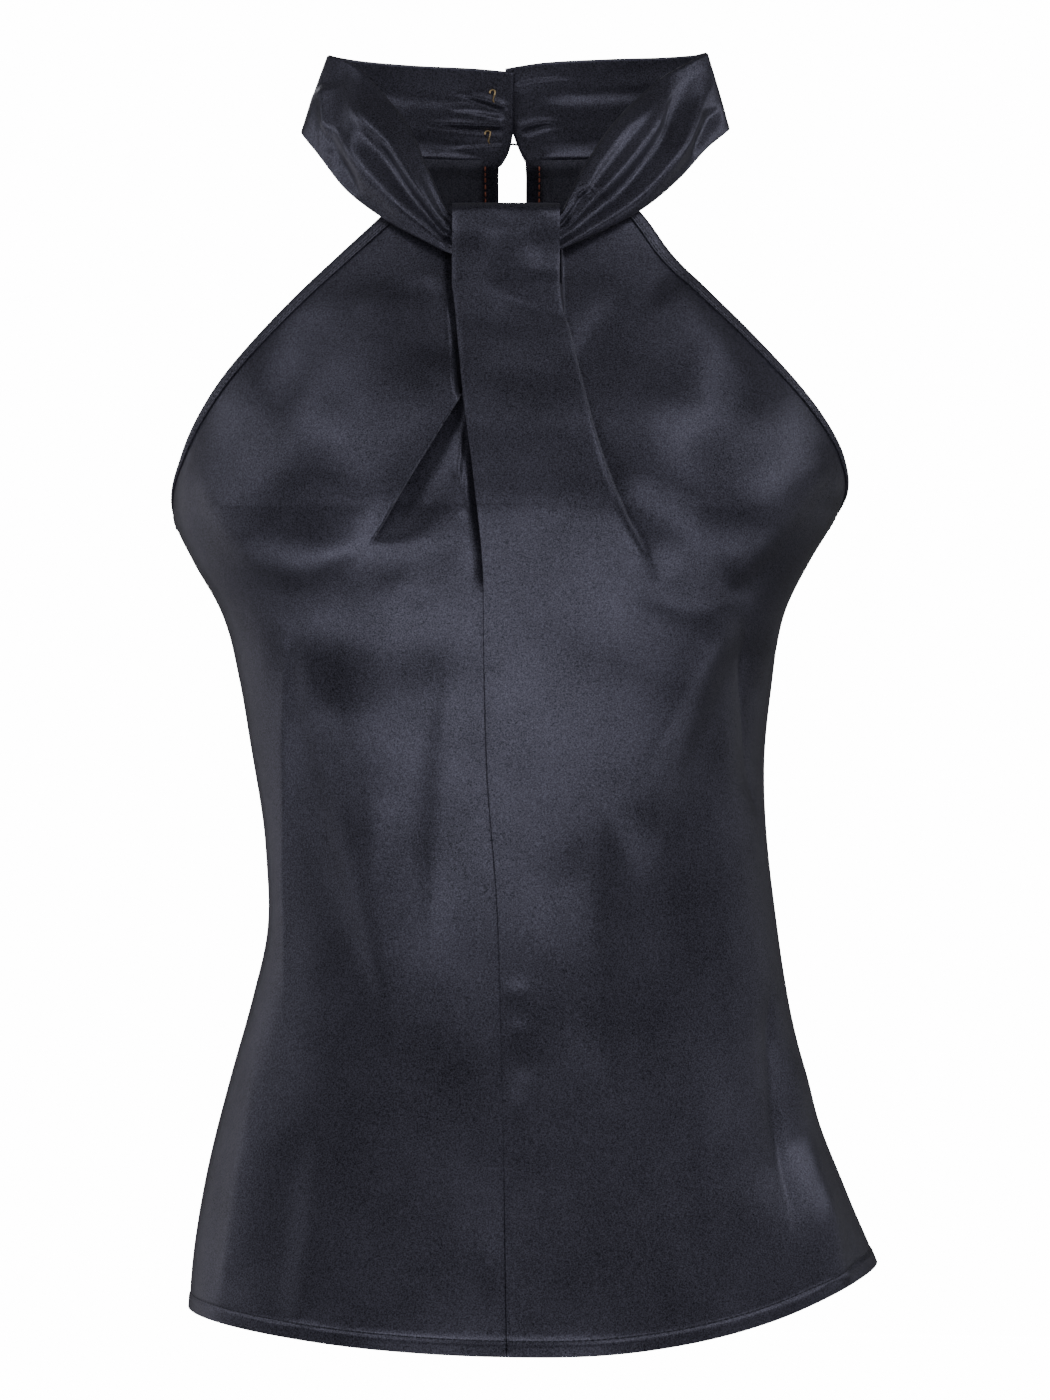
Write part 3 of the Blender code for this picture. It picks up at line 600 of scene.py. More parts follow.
def loopCloth(outer, step, u):
    # The loop carries the pleat's top edge along loopLine, slightly bowed across, rolled in at its
    # two edges, with soft wrinkles across where it bends over the collar.
    start = smooth(1 - step / loopShape["start"])
    across = (outer[..., 0] - loopShape["middle"]) / loopShape["half"]
    y = read(loopLine, "y", step) + (outer[..., 1] - loopLine["y"][0]) * start
    y += loopShape["bow"] * across**2 * (1 - start)
    z = read(loopLine, "z", step) + (outer[..., 2] - loopLine["z"][0]) * start
    ahead, behind = np.clip(step + 0.01, 0, 1), np.clip(step - 0.01, 0, 1)
    alongY = read(loopLine, "y", ahead) - read(loopLine, "y", behind)
    alongZ = read(loopLine, "z", ahead) - read(loopLine, "z", behind)
    length = np.hypot(alongY, alongZ)
    rolled = -0.2 * (bell(u - 1, 0.03) + bell(2 - u, 0.03)) * smooth(step / 0.1)
    lift = rolled + bumpRelief(loopBumps, outer[..., 0], 100 * step) * smooth(step / 0.05)
    return np.stack([outer[..., 0], y - lift * alongZ / length, z + lift * alongY / length], -1)


keyhole = table(
    "height half",
    (-118, 0.15),
    (-116, 2.6),
    (-110, 5.8),
    (-96, 9.0),
    (-72, 10.0),
    (-40, 8.4),
    (-15, 7.2),
    (6, 7.2),
)
backFolds = {
    "left": table(
        foldColumns,
        (-60, -170, -92, -220, -112, -262, 2.0, 20, -1.2, 22, 6, 0.3, 0.3),
        (-30, -200, -70, -270, -96, -330, -1.2, 20, 1.8, 22, 7, 0.3, 0.3),
        (-112, -250, -110, -330, -118, -420, 2.4, 12, 2.4, 16, 4, 0.2, 0.3),
        (-16, -300, -60, -322, -104, -316, 1.6, 12, -1.2, 14, 5, 0.3, 0.3),
        (-14, -338, -50, -352, -92, -342, 1.4, 11, -1.0, 12, 5, 0.3, 0.3),
        (-60, -400, -76, -480, -82, -570, 2.0, 24, -1.4, 26, 9, 0.3, 0.2),
        (-120, -430, -132, -500, -140, -575, 1.8, 16, -1.2, 20, 8, 0.3, 0.2),
        (-24, -420, -32, -500, -30, -575, -1.2, 18, 1.5, 20, 8, 0.3, 0.2),
        (-150, -150, -120, -196, -76, -204, 1.6, 12, 1.6, 14, 5, 0.3, 0.3),
    ),
    "right": table(
        foldColumns,
        (56, -164, 92, -216, 114, -256, -1.2, 22, 2.0, 20, 6, 0.3, 0.3),
        (26, -210, 66, -276, 98, -336, 1.6, 22, -1.2, 20, 7, 0.3, 0.3),
        (116, -244, 118, -300, 122, -400, 2.2, 16, 2.2, 12, 4, 0.2, 0.3),
        (18, -306, 58, -330, 104, -322, -1.2, 14, 1.6, 12, 5, 0.3, 0.3),
        (14, -346, 52, -358, 96, -350, -1.0, 12, 1.3, 11, 5, 0.3, 0.3),
        (66, -398, 84, -480, 92, -570, -1.4, 26, 2.0, 24, 9, 0.3, 0.2),
        (128, -440, 142, -500, 154, -560, -1.2, 18, 2.0, 16, 7, 0.3, 0.2),
        (30, -430, 38, -500, 34, -575, 1.4, 20, -1.1, 18, 8, 0.3, 0.2),
        (146, -146, 118, -192, 70, -208, 1.6, 14, 1.6, 12, 5, 0.3, 0.3),
    ),
}


def backPanel(side):
    sign = 1 if side == "right" else -1

    def shape(u, v):
        # u runs from the side seam and armhole at 0 to the centre back at 1. v is the height.
        edge = sideEdge(backEdge, v, side)[1]
        half = middleHalf(backEdge, v, side)
        gap = np.maximum(read(keyhole, "half", v), shell["seamGap"] / 2)
        closed = smooth((shell["keyholeEnd"] - 1 - v) / 3)
        under = closed * (shell["seamTurn"] if side == "left" else 0)
        middle = turnAt(gap - under, half)
        turn = sign * (edge + (middle - edge) * u)
        x, y, outX, outY, atSeam = section(backEdge, 1, turn, v, half, side)
        z = v + hemLift(turn, v, side)
        atSeam = atSeam * smooth((-v - 20) / 60)
        lift = (foldRelief(backFolds[side], x, z) + unevenness(x, z, 3.0 + sign)) * atSeam
        lift += hemRelief(v) - 0.45 * bell(x, 1.3) * smooth((shell["keyholeEnd"] - v) / 10)
        lift -= 1.3 * smooth((x + 0.1) / 0.5) * (under > 0) * closed
        ruffled = 1 + 0.16 * np.sin(x / 1.9 + sign) * np.sin(x / 5.3)
        lift -= shell["topTuck"] * ruffled * smooth((v - 1.5) / 4)  # its top lies inside the collar
        return np.stack([x + outX * lift, y + outY * lift, z], -1)

    return shape


collarSize = {"wall": 2.2, "edgeRound": 1.3, "seam": 6.0, "foldHeight": 2.2}
collarColumns = "step lowerX lowerY lowerZ upperX upperY upperZ swell close"
collarLeft = table(
    collarColumns,
    (0.0, -3, -71, -58, -3, -71, -31.5, 0, 1),
    (0.1, -27, -69, -52, -27, -67.5, -34, 0.6, 1),
    (0.2, -45, -62.5, -43, -41, -55, -9, 3.5, 1),
    (0.3, -62, -52, -33, -51, -39, 14, 5, 1),
    (0.42, -84, -34, -15, -67, -22, 36, 5.5, 1),
    (0.52, -98, -15, 4, -81, -8, 51, 3.5, 1),
    (0.6, -107, 2, 17, -93.5, 6, 57, 0.5, 1),
    (0.67, -97, 20, 14, -90, 21, 58, 2, 1),
    (0.76, -78, 35, 9, -76, 34, 57.5, 2.5, 1),
    (0.86, -53, 47.9, 6, -49, 47, 57, 2, 1),
    (0.95, -21, 56.5, 6, -17, 55.6, 56.5, 0.6, 1),
    (1.0, -6.2, 57.4, 6, 0.8, 57.0, 55, 0, 6),
)
collarRight = table(
    collarColumns,
    (0.0, -3, -71, -58, -3, -71, -31.5, 0, 1),
    (0.1, 21, -69, -50, 21, -67.5, -34, 0.6, 1),
    (0.2, 41, -59, -40, 34, -54, -10, 3.5, 1),
    (0.3, 63, -46.5, -28, 47, -40, 12, 5, 1),
    (0.42, 84, -31, -10, 64, -23, 32, 6, 1),
    (0.52, 99.5, -14, 8, 80, -10, 46, 4.5, 1),
    (0.6, 110.5, 3, 18.5, 99, 6, 58, 0.5, 1),
    (0.67, 100, 20, 14, 94, 21, 59, 2, 1),
    (0.76, 79, 35, 9, 77, 34, 59.5, 2.5, 1),
    (0.86, 54, 47.9, 6, 49, 47.6, 60.5, 2, 1),
    (0.95, 22, 58.4, 6, 14, 59.4, 60, 0.6, 1),
    (1.0, 8.3, 60.4, 6, -3.5, 61.4, 57.5, 0, 2.6),
)
# Folds of the collar on its own flat: X is the step times 200, Z the share of its width times 50
collarFolds = {
    "left": table(
        foldColumns,
        (18, 20, 46, 27, 92, 35, -2.8, 7, -2.8, 9, 4, 0.05, 0.35),  # valley below the rim's ridge
        (18, 8, 56, 12, 98, 24, 2.0, 8, 2.0, 10, 4, 0.05, 0.35),
        (72, 3, 88, 9, 106, 16, -1.8, 6, -1.8, 6, 2.5, 0.3, 0.3),
        (22, 41, 40, 46, 76, 48, -1.0, 4, -1.0, 4, 1.8, 0.1, 0.3),
    ),
    "right": table(
        foldColumns,
        (18, 36, 50, 34, 92, 44, -3.0, 6, -3.0, 7, 3, 0.05, 0.35),  # valley below the rim's ridge
        (18, 18, 62, 13, 118, 46, -3.2, 8, -3.2, 9, 3.5, 0.05, 0.3),  # long valley
        (18, 3, 70, 2, 118, 34, 2.8, 6, 2.8, 9, 3, 0.05, 0.35),
        (90, 6, 104, 12, 116, 18, -1.2, 5, -1.2, 6, 2, 0.3, 0.3),
    ),
}
collarCreases = {
    "left": table(
        creaseColumns,
        (20, 31, 54, 38, 106, 43, 4.2, 12, 9, 8.0, 0.05, 0.3),  # the rolled rim's ridge
        (114, 34, 102, 20, 90, 2, 1.3, 5, 9, 1.6, 0.15, 0.2),  # sharp turn at the corner
    ),
    "right": table(
        creaseColumns,
        (36, 37, 52, 48, 106, 44, 3.4, 10, 9, 7.0, 0.1, 0.25),  # the rolled rim's ridge
        (20, 47, 34, 30, 48, 46, 1.0, 4, 4, 2.0, 0.2, 0.35),  # small fold beside the loop
        (24, 27, 62, 23, 102, 43, 2.4, 7, 7, 6.0, 0.1, 0.35),  # streak between the valleys
    ),
}
collarBackFolds = {
    "left": table(
        foldColumns,
        (120, 30, 160, 34, 196, 30, 0.5, 9, -0.3, 9, 4, 0.3, 0.2),
        (140, 12, 168, 16, 198, 14, -0.3, 7, 0.4, 7, 3, 0.3, 0.2),
    ),
    "right": table(
        foldColumns,
        (122, 36, 160, 30, 196, 34, 0.4, 9, -0.3, 9, 4, 0.3, 0.2),
        (144, 16, 170, 12, 198, 15, -0.3, 7, 0.4, 7, 3, 0.3, 0.2),
    ),
}
# Creases of the layer that faces the neck, on the same flat
collarInnerFolds = {
    "left": table(
        foldColumns,
        (182, 37, 191, 34, 199, 29, 1.6, 3, -1.4, 3, 0.9, 0.6, 0.15),
        (180, 28, 190, 29, 199, 24, -1.2, 3, 1.0, 3, 0.9, 0.6, 0.2),
        (172, 22, 188, 19, 199, 20, 1.4, 3.5, -1.2, 3, 1.0, 0.6, 0.15),
        (180, 9, 190, 10, 199, 12, -0.9, 2.5, 0.9, 2.5, 0.8, 0.6, 0.15),
        (128, 42, 150, 31, 178, 27, -0.5, 12, 0.5, 13, 6, 0.4, 0.4),
        (150, 3, 176, 4, 196, 2.5, 1.4, 2, -1.0, 2, 0.6, 0.2, 0.2),
    ),
    "right": table(
        foldColumns,
        (150, 27, 170, 33, 196, 30, -0.8, 9, 0.4, 11, 5, 0.5, 0.3),
        (184, 20, 192, 22, 199, 17, 1.2, 3, -1.2, 3, 0.9, 0.6, 0.15),
        (180, 40, 190, 44, 199, 40, 1.0, 3.5, -1.0, 3.5, 1.1, 0.5, 0.2),
        (116, 47, 130, 34, 146, 20, -1.0, 9, 1.0, 9, 3.5, 0.3, 0.35),
        (152, 4, 176, 2.5, 196, 4, 1.4, 2, -1.0, 2, 0.6, 0.2, 0.2),
    ),
}


def collarHalf(rows, sign, side, u, v):
    # A line from the lower to the upper edge at each step, swollen between them by a sine arch, and
    # moved along the horizontal outward direction by the folds. Gives the outer layer, its outward
    # directions and how far the folds of the layer that faces the neck stand out from it.
    lower = np.stack([read(rows, f"lower{axis}", u) for axis in "XYZ"], -1)
    upper = np.stack([read(rows, f"upper{axis}", u) for axis in "XYZ"], -1)
    closed = 1 - (1 - v) ** np.maximum(read(rows, "close", u), 1)
    share = np.stack([closed, v, v], -1)
    alongX = read(rows, "lowerX", u + 0.01) - read(rows, "lowerX", u - 0.01)
    alongY = read(rows, "lowerY", u + 0.01) - read(rows, "lowerY", u - 0.01)
    outwards = unit(np.stack([-sign * alongY, sign * alongX, 0 * alongX], -1))
    flatX, flatZ = 200 * u, 50 * v
    arch = np.sin(np.pi * v)
    folds = foldRelief(collarFolds[side], flatX, flatZ) + foldRelief(collarBackFolds[side], flatX, flatZ)
    folds += creaseRelief(collarCreases[side], flatX, flatZ)
    gathered = collarSize["foldHeight"] * np.clip(np.linalg.norm(upper - lower, axis=-1) / 48, 0.3, 1)
    fine = 0.3 * np.sin(flatX / 3.1 + 2 * v) * bell(v - 0.04, 0.05) * smooth((u - 0.3) / 0.1)
    wrinkled = (folds * gathered + fine) * smooth((1 - u) / 0.05) * np.sqrt(np.abs(arch))
    lift = read(rows, "swell", u) * arch + wrinkled
    outer = lower + (upper - lower) * share + outwards * lift[..., None]
    innerLift = foldRelief(collarInnerFolds[side], flatX, flatZ) * smooth((1 - u) / 0.02)
    ripple = 0.4 * np.sin(flatX / 1.7 + np.sin(flatX / 4)) * bell(v - 0.07, 0.06)
    innerLift += ripple * smooth((u - 0.6) / 0.1)
    return outer, outwards, innerLift * np.sqrt(np.abs(arch))


def collarLayers(u, v):
    # from the left end at -1 under the loop at 0 to the right end at 1; the edges are rounded
    left = collarHalf(collarLeft, 1, "left", np.clip(-u, 0, 1), v)
    right = collarHalf(collarRight, -1, "right", np.clip(u, 0, 1), v)
    isLeft = u < 0
    outer, outwards = (np.where(isLeft[..., None], a, b) for a, b in zip(left[:2], right[:2]))
    innerLift = np.where(isLeft, left[2], right[2])
    fromEdge = np.minimum(v, 1 - v) * 50
    fromEdge = np.minimum(fromEdge, (1 - np.abs(u)) * 200 + 0.02)
    roundness = np.sqrt(1 - (1 - np.clip(fromEdge / collarSize["edgeRound"], 0.02, 1)) ** 2)
    wall = collarSize["wall"] * roundness
    outer = outer - outwards * ((collarSize["wall"] - wall) / 2)[..., None]
    inner = outer - outwards * (wall + np.clip(innerLift, -0.6 * wall, 2.6))[..., None]
    return outer, inner


def gridNormals(points, outwards):
    # the cross product of the grid's two directions, turned to the side that outwards shows
    normals = unit(np.cross(np.gradient(points, axis=0), np.gradient(points, axis=1)))
    return normals * np.sign(np.sum(normals * outwards, -1, keepdims=True) + 1e-12)


def fromAxis(points):
    # away from the body's upright axis
    return unit(points * np.array([1, 1.6, 0]))


def underside(outer):
    # the wrong side of a single layer, one wall further in along the true normals
    return outer - shell["wall"] * gridNormals(outer, fromAxis(outer))


def addObject(name, points, faces, uv, slots, replaced=()):
    # Puts arrays into a mesh: points in millimetres, faces as rows of point numbers, one material
    # slot and one UV place for each face and point.
    mesh = bpy.data.meshes.new(name)
    mesh.vertices.add(len(points))
    mesh.vertices.foreach_set("co", (points * mm).astype(np.float32).ravel())
    corners = np.concatenate([np.ravel(block) for block in faces])
    sizes = np.concatenate([np.full(len(block), block.shape[1]) for block in faces])
    mesh.loops.add(len(corners))
    mesh.loops.foreach_set("vertex_index", corners.astype(np.int32))
    mesh.polygons.add(len(sizes))
    starts = np.concatenate([[0], np.cumsum(sizes)[:-1]])
    mesh.polygons.foreach_set("loop_start", starts.astype(np.int32))
    mesh.polygons.foreach_set("use_smooth", np.ones(len(sizes), bool))
    mesh.polygons.foreach_set("material_index", np.asarray(slots, np.int32))
    layer = mesh.uv_layers.new(name="cloth")
    layer.uv.foreach_set("vector", (uv[corners] * mm).astype(np.float32).ravel())
    mesh.update(calc_edges=True)
    mesh.validate()
    made = bpy.data.objects.new(name, mesh)
    bpy.context.scene.collection.objects.link(made)
    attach(made, "root")
    if replaced:
        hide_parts(*replaced)
    return made


def flatPlaces(points):
    # how far each point lies along the cloth from the grid's first lines
    across = np.linalg.norm(np.diff(points, axis=0), axis=-1)
    up = np.linalg.norm(np.diff(points, axis=1), axis=-1)
    across = np.concatenate([np.zeros((1, points.shape[1])), np.cumsum(across, 0)])
    up = np.concatenate([np.zeros((points.shape[0], 1)), np.cumsum(up, 1)], 1)
    return np.stack([across, up], -1)


def facesInwards(points, faces, centre=0):
    # from the sign of the volume that four-cornered faces enclose with the centre
    a, b, c, d = (points[faces[:, k]] for k in range(4))
    return np.sum((a - centre) * np.cross(c - a, d - b)) < 0


def addCloth(name, outer, inner, finishes, replaced, kept=None):
    # two layers of one grid, with a wall round every edge of the cells that are kept
    columns, rows = outer.shape[:2]
    if kept is None:
        kept = np.ones((columns - 1, rows - 1), bool)
    index = np.arange(columns * rows).reshape(columns, rows)
    corners = np.stack([index[:-1, :-1], index[1:, :-1], index[1:, 1:], index[:-1, 1:]], -1)
    right = corners[kept]
    wrong = right[:, ::-1] + columns * rows
    padded = np.pad(kept, 1)
    walls = []
    for (dx, dy), (a, b) in (((0, -1), (0, 1)), ((1, 0), (1, 2)), ((0, 1), (2, 3)), ((-1, 0), (3, 0))):
        beside = padded[1 + dx : columns + dx, 1 + dy : rows + dy]
        bare = corners[kept & ~beside]
        ends = bare[:, [b, a]]
        walls.append(np.concatenate([ends, ends[:, ::-1] + columns * rows], 1))
    walls = np.concatenate(walls)
    points = np.concatenate([outer.reshape(-1, 3), inner.reshape(-1, 3)])
    faces = np.concatenate([right, wrong, walls])
    if facesInwards(points, faces):
        faces = faces[:, ::-1]
    flat = flatPlaces(outer).reshape(-1, 2)
    slots = np.concatenate([np.zeros(len(right)), np.ones(len(wrong)), np.zeros(len(walls))])
    made = addObject(name, points, [faces], np.concatenate([flat, flat]), slots, replaced)
    for finish in finishes:
        made.data.materials.append(finish)
    made.data.set_sharp_from_angle(angle=np.radians(75))
    print(name, 2 * len(faces), "triangles")
    return made


def closedRings(rings):
    # Runs of rings that close on themselves, joined one to the next, with a cap at each run's ends.
    count, stations, around = rings.shape[:3]
    index = np.arange(count * stations * around).reshape(count, stations, around)
    turned = np.roll(index, -1, axis=2)
    sides = np.stack([index[:, :-1], turned[:, :-1], turned[:, 1:], index[:, 1:]], -1).reshape(-1, 4)
    caps = np.concatenate([index[:, 0, ::-1], index[:, -1]])
    points = rings.reshape(-1, 3)
    firstRun = sides[: (stations - 1) * around]
    if facesInwards(points, firstRun, rings[0].reshape(-1, 3).mean(0)):
        sides, caps = sides[:, ::-1], caps[:, ::-1]
    return points, [sides, caps], np.zeros(len(sides) + len(caps))


def addTube(name, rings, finish, replaced):
    points, faces, slots = closedRings(rings[None])
    around = np.broadcast_to(np.arange(rings.shape[1]) * 0.4, rings.shape[:2])
    along = np.cumsum(np.linalg.norm(np.diff(rings[:, 0], axis=0, prepend=rings[:1, 0]), axis=-1))
    flat = np.stack([around, np.broadcast_to(along[:, None], around.shape)], -1).reshape(-1, 2)
    made = addObject(name, points, faces, flat, slots, replaced)
    made.data.materials.append(finish)
    made.data.set_sharp_from_angle(angle=np.radians(50))
    return made


class Field:
    # one value inside a material; Python's operators on it add Math nodes
    def __init__(self, finish, socket):
        self.finish = finish
        self.socket = socket

    def maths(self, operation, other):
        return self.finish.node("ShaderNodeMath", {"operation": operation}, {0: self, 1: other})

    def __add__(self, other):
        return self.maths("ADD", other)

    def __mul__(self, other):
        return self.maths("MULTIPLY", other)

    __radd__, __rmul__ = __add__, __mul__


class Finish:
    # a material with one Principled shader, and the nodes that feed it
    def __init__(self, name, steady):
        self.material = bpy.data.materials.new(name)
        self.material.use_nodes = True
        self.tree = self.material.node_tree
        self.shader = self.tree.nodes["Principled BSDF"]
        for socket, value in steady.items():
            self.feed(self.shader.inputs[socket], value)

    def feed(self, socket, value):
        if isinstance(value, Field):
            self.tree.links.new(value.socket, socket)
        else:
            socket.default_value = value

    def node(self, kind, settings, inputs, output=0):
        made = self.tree.nodes.new(kind)
        for key, value in settings.items():
            if key == "stops":
                for stop, (place, level) in zip([*made.color_ramp.elements], value):
                    stop.position = place
                    stop.color = (level, level, level, 1)
            else:
                setattr(made, key, value)
        for key, value in inputs.items():
            self.feed(made.inputs[key], value)
        return Field(self, made.outputs[output])

    def place(self, output="Object"):
        return self.node("ShaderNodeTexCoord", {}, {}, output)

    def noise(self, scale, detail, rough=0.5):
        inputs = {"Vector": self.place(), "Scale": scale, "Detail": detail, "Roughness": rough}
        return self.node("ShaderNodeTexNoise", {}, inputs)

    def ramp(self, value, *stops):
        return self.node("ShaderNodeValToRGB", {"stops": stops}, {"Fac": value})

    def mix(self, factor, first, second):
        return self.node("ShaderNodeMix", {"data_type": "RGBA"}, {0: factor, 6: first, 7: second}, 2)

    def wear(self, socket, value):
        self.feed(self.shader.inputs[socket], value)

    def bump(self, height, strength, distance):
        inputs = {"Strength": strength, "Distance": distance, "Height": height}
        self.wear("Normal", self.node("ShaderNodeBump", {}, inputs))


grainScale = 1350.0  # specks to the metre
threadScale = 3600.0  # threads to the metre
satinLook = {
    "deep": (0.011, 0.0108, 0.016, 1),
    "light": (0.200, 0.195, 0.256, 1),
    "roughness": 0.27,
    "shine": 0.5,
    "lustre": 0.6,
    "bump": 0.3,
}
# painted sheen: the binding is the same satin as the panels, made lighter in colour for the brighter sheen
# its strip shows
bindingSheenLook = {
    "deep": (0.018, 0.0176, 0.025, 1),
    "light": (0.260, 0.254, 0.322, 1),
    "roughness": 0.33,
    "shine": 0.5,
    "lustre": 0.6,
    "bump": 0.3,
}
reverseLook = {
    "deep": (0.03, 0.03, 0.042, 1),
    "light": (0.25, 0.245, 0.31, 1),
    "roughness": 0.5,
    "shine": 0.5,
    "lustre": 0.2,
    "bump": 0.5,
}


def satinFinish(name, look):
    # Heavy satin: long floats across fine threads, a speckled sheen, and slow changes of depth.
    sheen = {"Sheen Weight": 0.05, "Sheen Roughness": 0.45}
    made = Finish(name, {"Specular IOR Level": look["shine"], "Metallic": look["lustre"], **sheen})
    grain = made.noise(grainScale, 2.0, rough=0.7)
    cloud = made.noise(22.0, 3.0)
    across = made.node("ShaderNodeSeparateXYZ", {}, {0: made.place("UV")})
    up = Field(made, across.socket.node.outputs[1])
    turns = threadScale * 6.2832
    threads = made.node("ShaderNodeMath", {"operation": "SINE"}, {0: across * turns})
    floats = made.node("ShaderNodeMath", {"operation": "SINE"}, {0: (up * 0.2 + across * 0.4) * turns})
    weave = threads * 0.3 + floats * 0.2
    depth = made.ramp(grain * 0.8 + cloud * 0.2, (0.3, 0.0), (0.72, 1.0))
    made.wear("Base Color", made.mix(depth, look["deep"], look["light"]))
    made.wear("Roughness", look["roughness"] - 0.05 + 0.16 * (grain * 0.7 + cloud * 0.3))
    made.bump(grain + weave * 0.4, look["bump"], 0.0002)
    return made.material


def threadFinish(name, colour, roughness):
    # spun thread: fine plies along it; paler specks painted into the base colour stand for light on their
    # crowns, a painted highlight
    made = Finish(name, {"Specular IOR Level": 0.4, "Sheen Weight": 0.2})
    plies = made.noise(2600.0, 3.0, rough=0.7)
    # painted highlight: a lighter copy of the thread's colour, mixed in by the noise of the plies
    tint = tuple(1.9 * c for c in colour)
    plyHighlight = made.ramp(plies, (0.3, 0.0), (0.7, 1.0))
    made.wear("Base Color", made.mix(plyHighlight, (*colour, 1), (*tint, 1)))
    made.wear("Roughness", roughness + 0.2 * plies)
    made.bump(plies, 0.5, 0.0002)
    return made.material


def brassFinish(name):
    # drawn brass wire with faint draw marks and a slightly tarnished tone in places
    made = Finish(name, {"Metallic": 1.0})
    marks = made.noise(3000.0, 3.0)
    dull = made.noise(260.0, 3.0)
    made.wear("Base Color", made.mix(dull, (0.55, 0.36, 0.17, 1), (0.86, 0.66, 0.36, 1)))
    made.wear("Roughness", 0.22 + 0.2 * dull + 0.06 * marks)
    made.bump(marks, 0.2, 0.0001)
    return made.material


satin = satinFinish("satin_face", satinLook)
reverse = satinFinish("satin_back", reverseLook)
bindingSheenSatin = satinFinish("satin_binding_painted_sheen", bindingSheenLook)
darkThread = threadFinish("dark_thread", (0.012, 0.013, 0.019), 0.5)
rustThread = threadFinish("rust_thread", (0.34, 0.10, 0.055), 0.55)
loopCord = threadFinish("loop_cord", (0.014, 0.014, 0.02), 0.45)
brass = brassFinish("brass_wire")
print("finishes made")


hemTop = shell["hem"] + shell["hemDepth"]
lowRows = ((shell["hem"], 6), (hemTop - 1, 4), (hemTop + 1.4, 140))
frontRows = spaced(*lowRows, (-250, 100), (-112, 30), (shell["frontTop"], 0))
pleatedRows = spaced(*lowRows, (-250, 100), (-112, 34), (shell["split"], 46), (shell["frontTop"], 0))
backRows = spaced(*lowRows, (-250, 44), (shell["keyholeEnd"], 8), (-106, 48), (shell["backTop"], 0))
leftColumns = spaced(
    (0, 4), (0.05, 62), (0.93, 9), (0.975, 12), (1, 10), (1.05, 14), (1.2, 40), (1.96, 6), (2, 0)
)
rightColumns = spaced(
    (0, 4), (0.05, 60), (0.94, 10), (0.985, 6), (1, 6), (1.02, 10), (1.1, 44), (1.95, 8), (2, 0)
)
backColumns = spaced((0, 4), (0.05, 62), (0.96, 10), (1, 0))

frontLeftOuter = frontLeft(*np.meshgrid(leftColumns, frontRows, indexing="ij"))
frontLeftInner = underside(frontLeftOuter)
leftPiece = addCloth("leftFront", frontLeftOuter, frontLeftInner, (satin, reverse), ["front_left"])

uRight, vRight = np.meshgrid(rightColumns, pleatedRows, indexing="ij")
frontRightOuter = frontRight(uRight, vRight)
slitCells = (np.abs(rightColumns[:-1] + rightColumns[1:] - 2) < 2 * loopShape["slit"])[:, None]
keptCells = ~(slitCells & (pleatedRows[:-1] >= shell["split"] - 0.01)[None, :])


def pleatedUnderside(outer):
    # as underside, but the loop turns over, so its outward side is found from its own grid
    body = gridNormals(outer, fromAxis(outer))
    turned = unit(np.cross(np.gradient(outer, axis=1), np.gradient(outer, axis=0)))
    low = np.argmax(pleatedRows > shell["split"]) - 6
    agree = np.sign(np.sum(turned[:, low] * body[:, low], -1))[:, None, None]
    inLoop = ((uRight > 1) & (vRight > shell["split"] - 3))[..., None]
    return outer - shell["wall"] * np.where(inLoop, turned * agree, body)


rightPiece = addCloth(
    "rightFront",
    frontRightOuter,
    pleatedUnderside(frontRightOuter),
    (satin, reverse),
    ["front_right"],
    keptCells,
)

backGrid = np.meshgrid(backColumns, backRows, indexing="ij")
backOuter = {side: backPanel(side)(*backGrid) for side in ("left", "right")}
backPieces = {
    side: addCloth(f"{side}Back", outer, underside(outer), (satin, reverse), [f"back_{side}"])
    for side, outer in backOuter.items()
}
print("body panels made")

collarColumnsU = spaced((-1, 16), (-0.96, 200), (0, 0))
collarAround = np.concatenate([collarColumnsU, -collarColumnsU[-2::-1]])
collarRows = 0.5 - 0.5 * np.cos(np.linspace(0.0, np.pi, 53)) * 0.35 - 0.65 * (0.5 - np.linspace(0, 1, 53))
collarOuter, collarInner = collarLayers(*np.meshgrid(collarAround, collarRows, indexing="ij"))
collarPiece = addCloth("gatheredCollar", collarOuter, collarInner, (satin, satin), ["collar"])
print("collar made")


strips = {
    "wall": 0.7,
    "gap": 0.3,
    "armholeBottom": -184.0,
    "columns": 15,
    "lip": (0.55, 0.2, 0.15),
    "crown": 0.35,
    "grooves": ((1.0, 0.22), (2.6, 0.16)),
    "ripple": 0.05,
}


def evenColumns(shape, rows, width, count, end=0.0, direction=1):
    # for every row, parameters whose places lie evenly over a strip of one width at a panel's edge
    u, v = np.meshgrid(np.linspace(end, end + direction * 0.4, 161), rows, indexing="ij")
    reach = flatPlaces(shape(u, v))[..., 0]
    wanted = np.linspace(0, width, count)
    u = np.stack([np.interp(wanted, reach[:, j], u[:, j]) for j in range(len(rows))], 1)
    return u, np.broadcast_to(rows, u.shape)


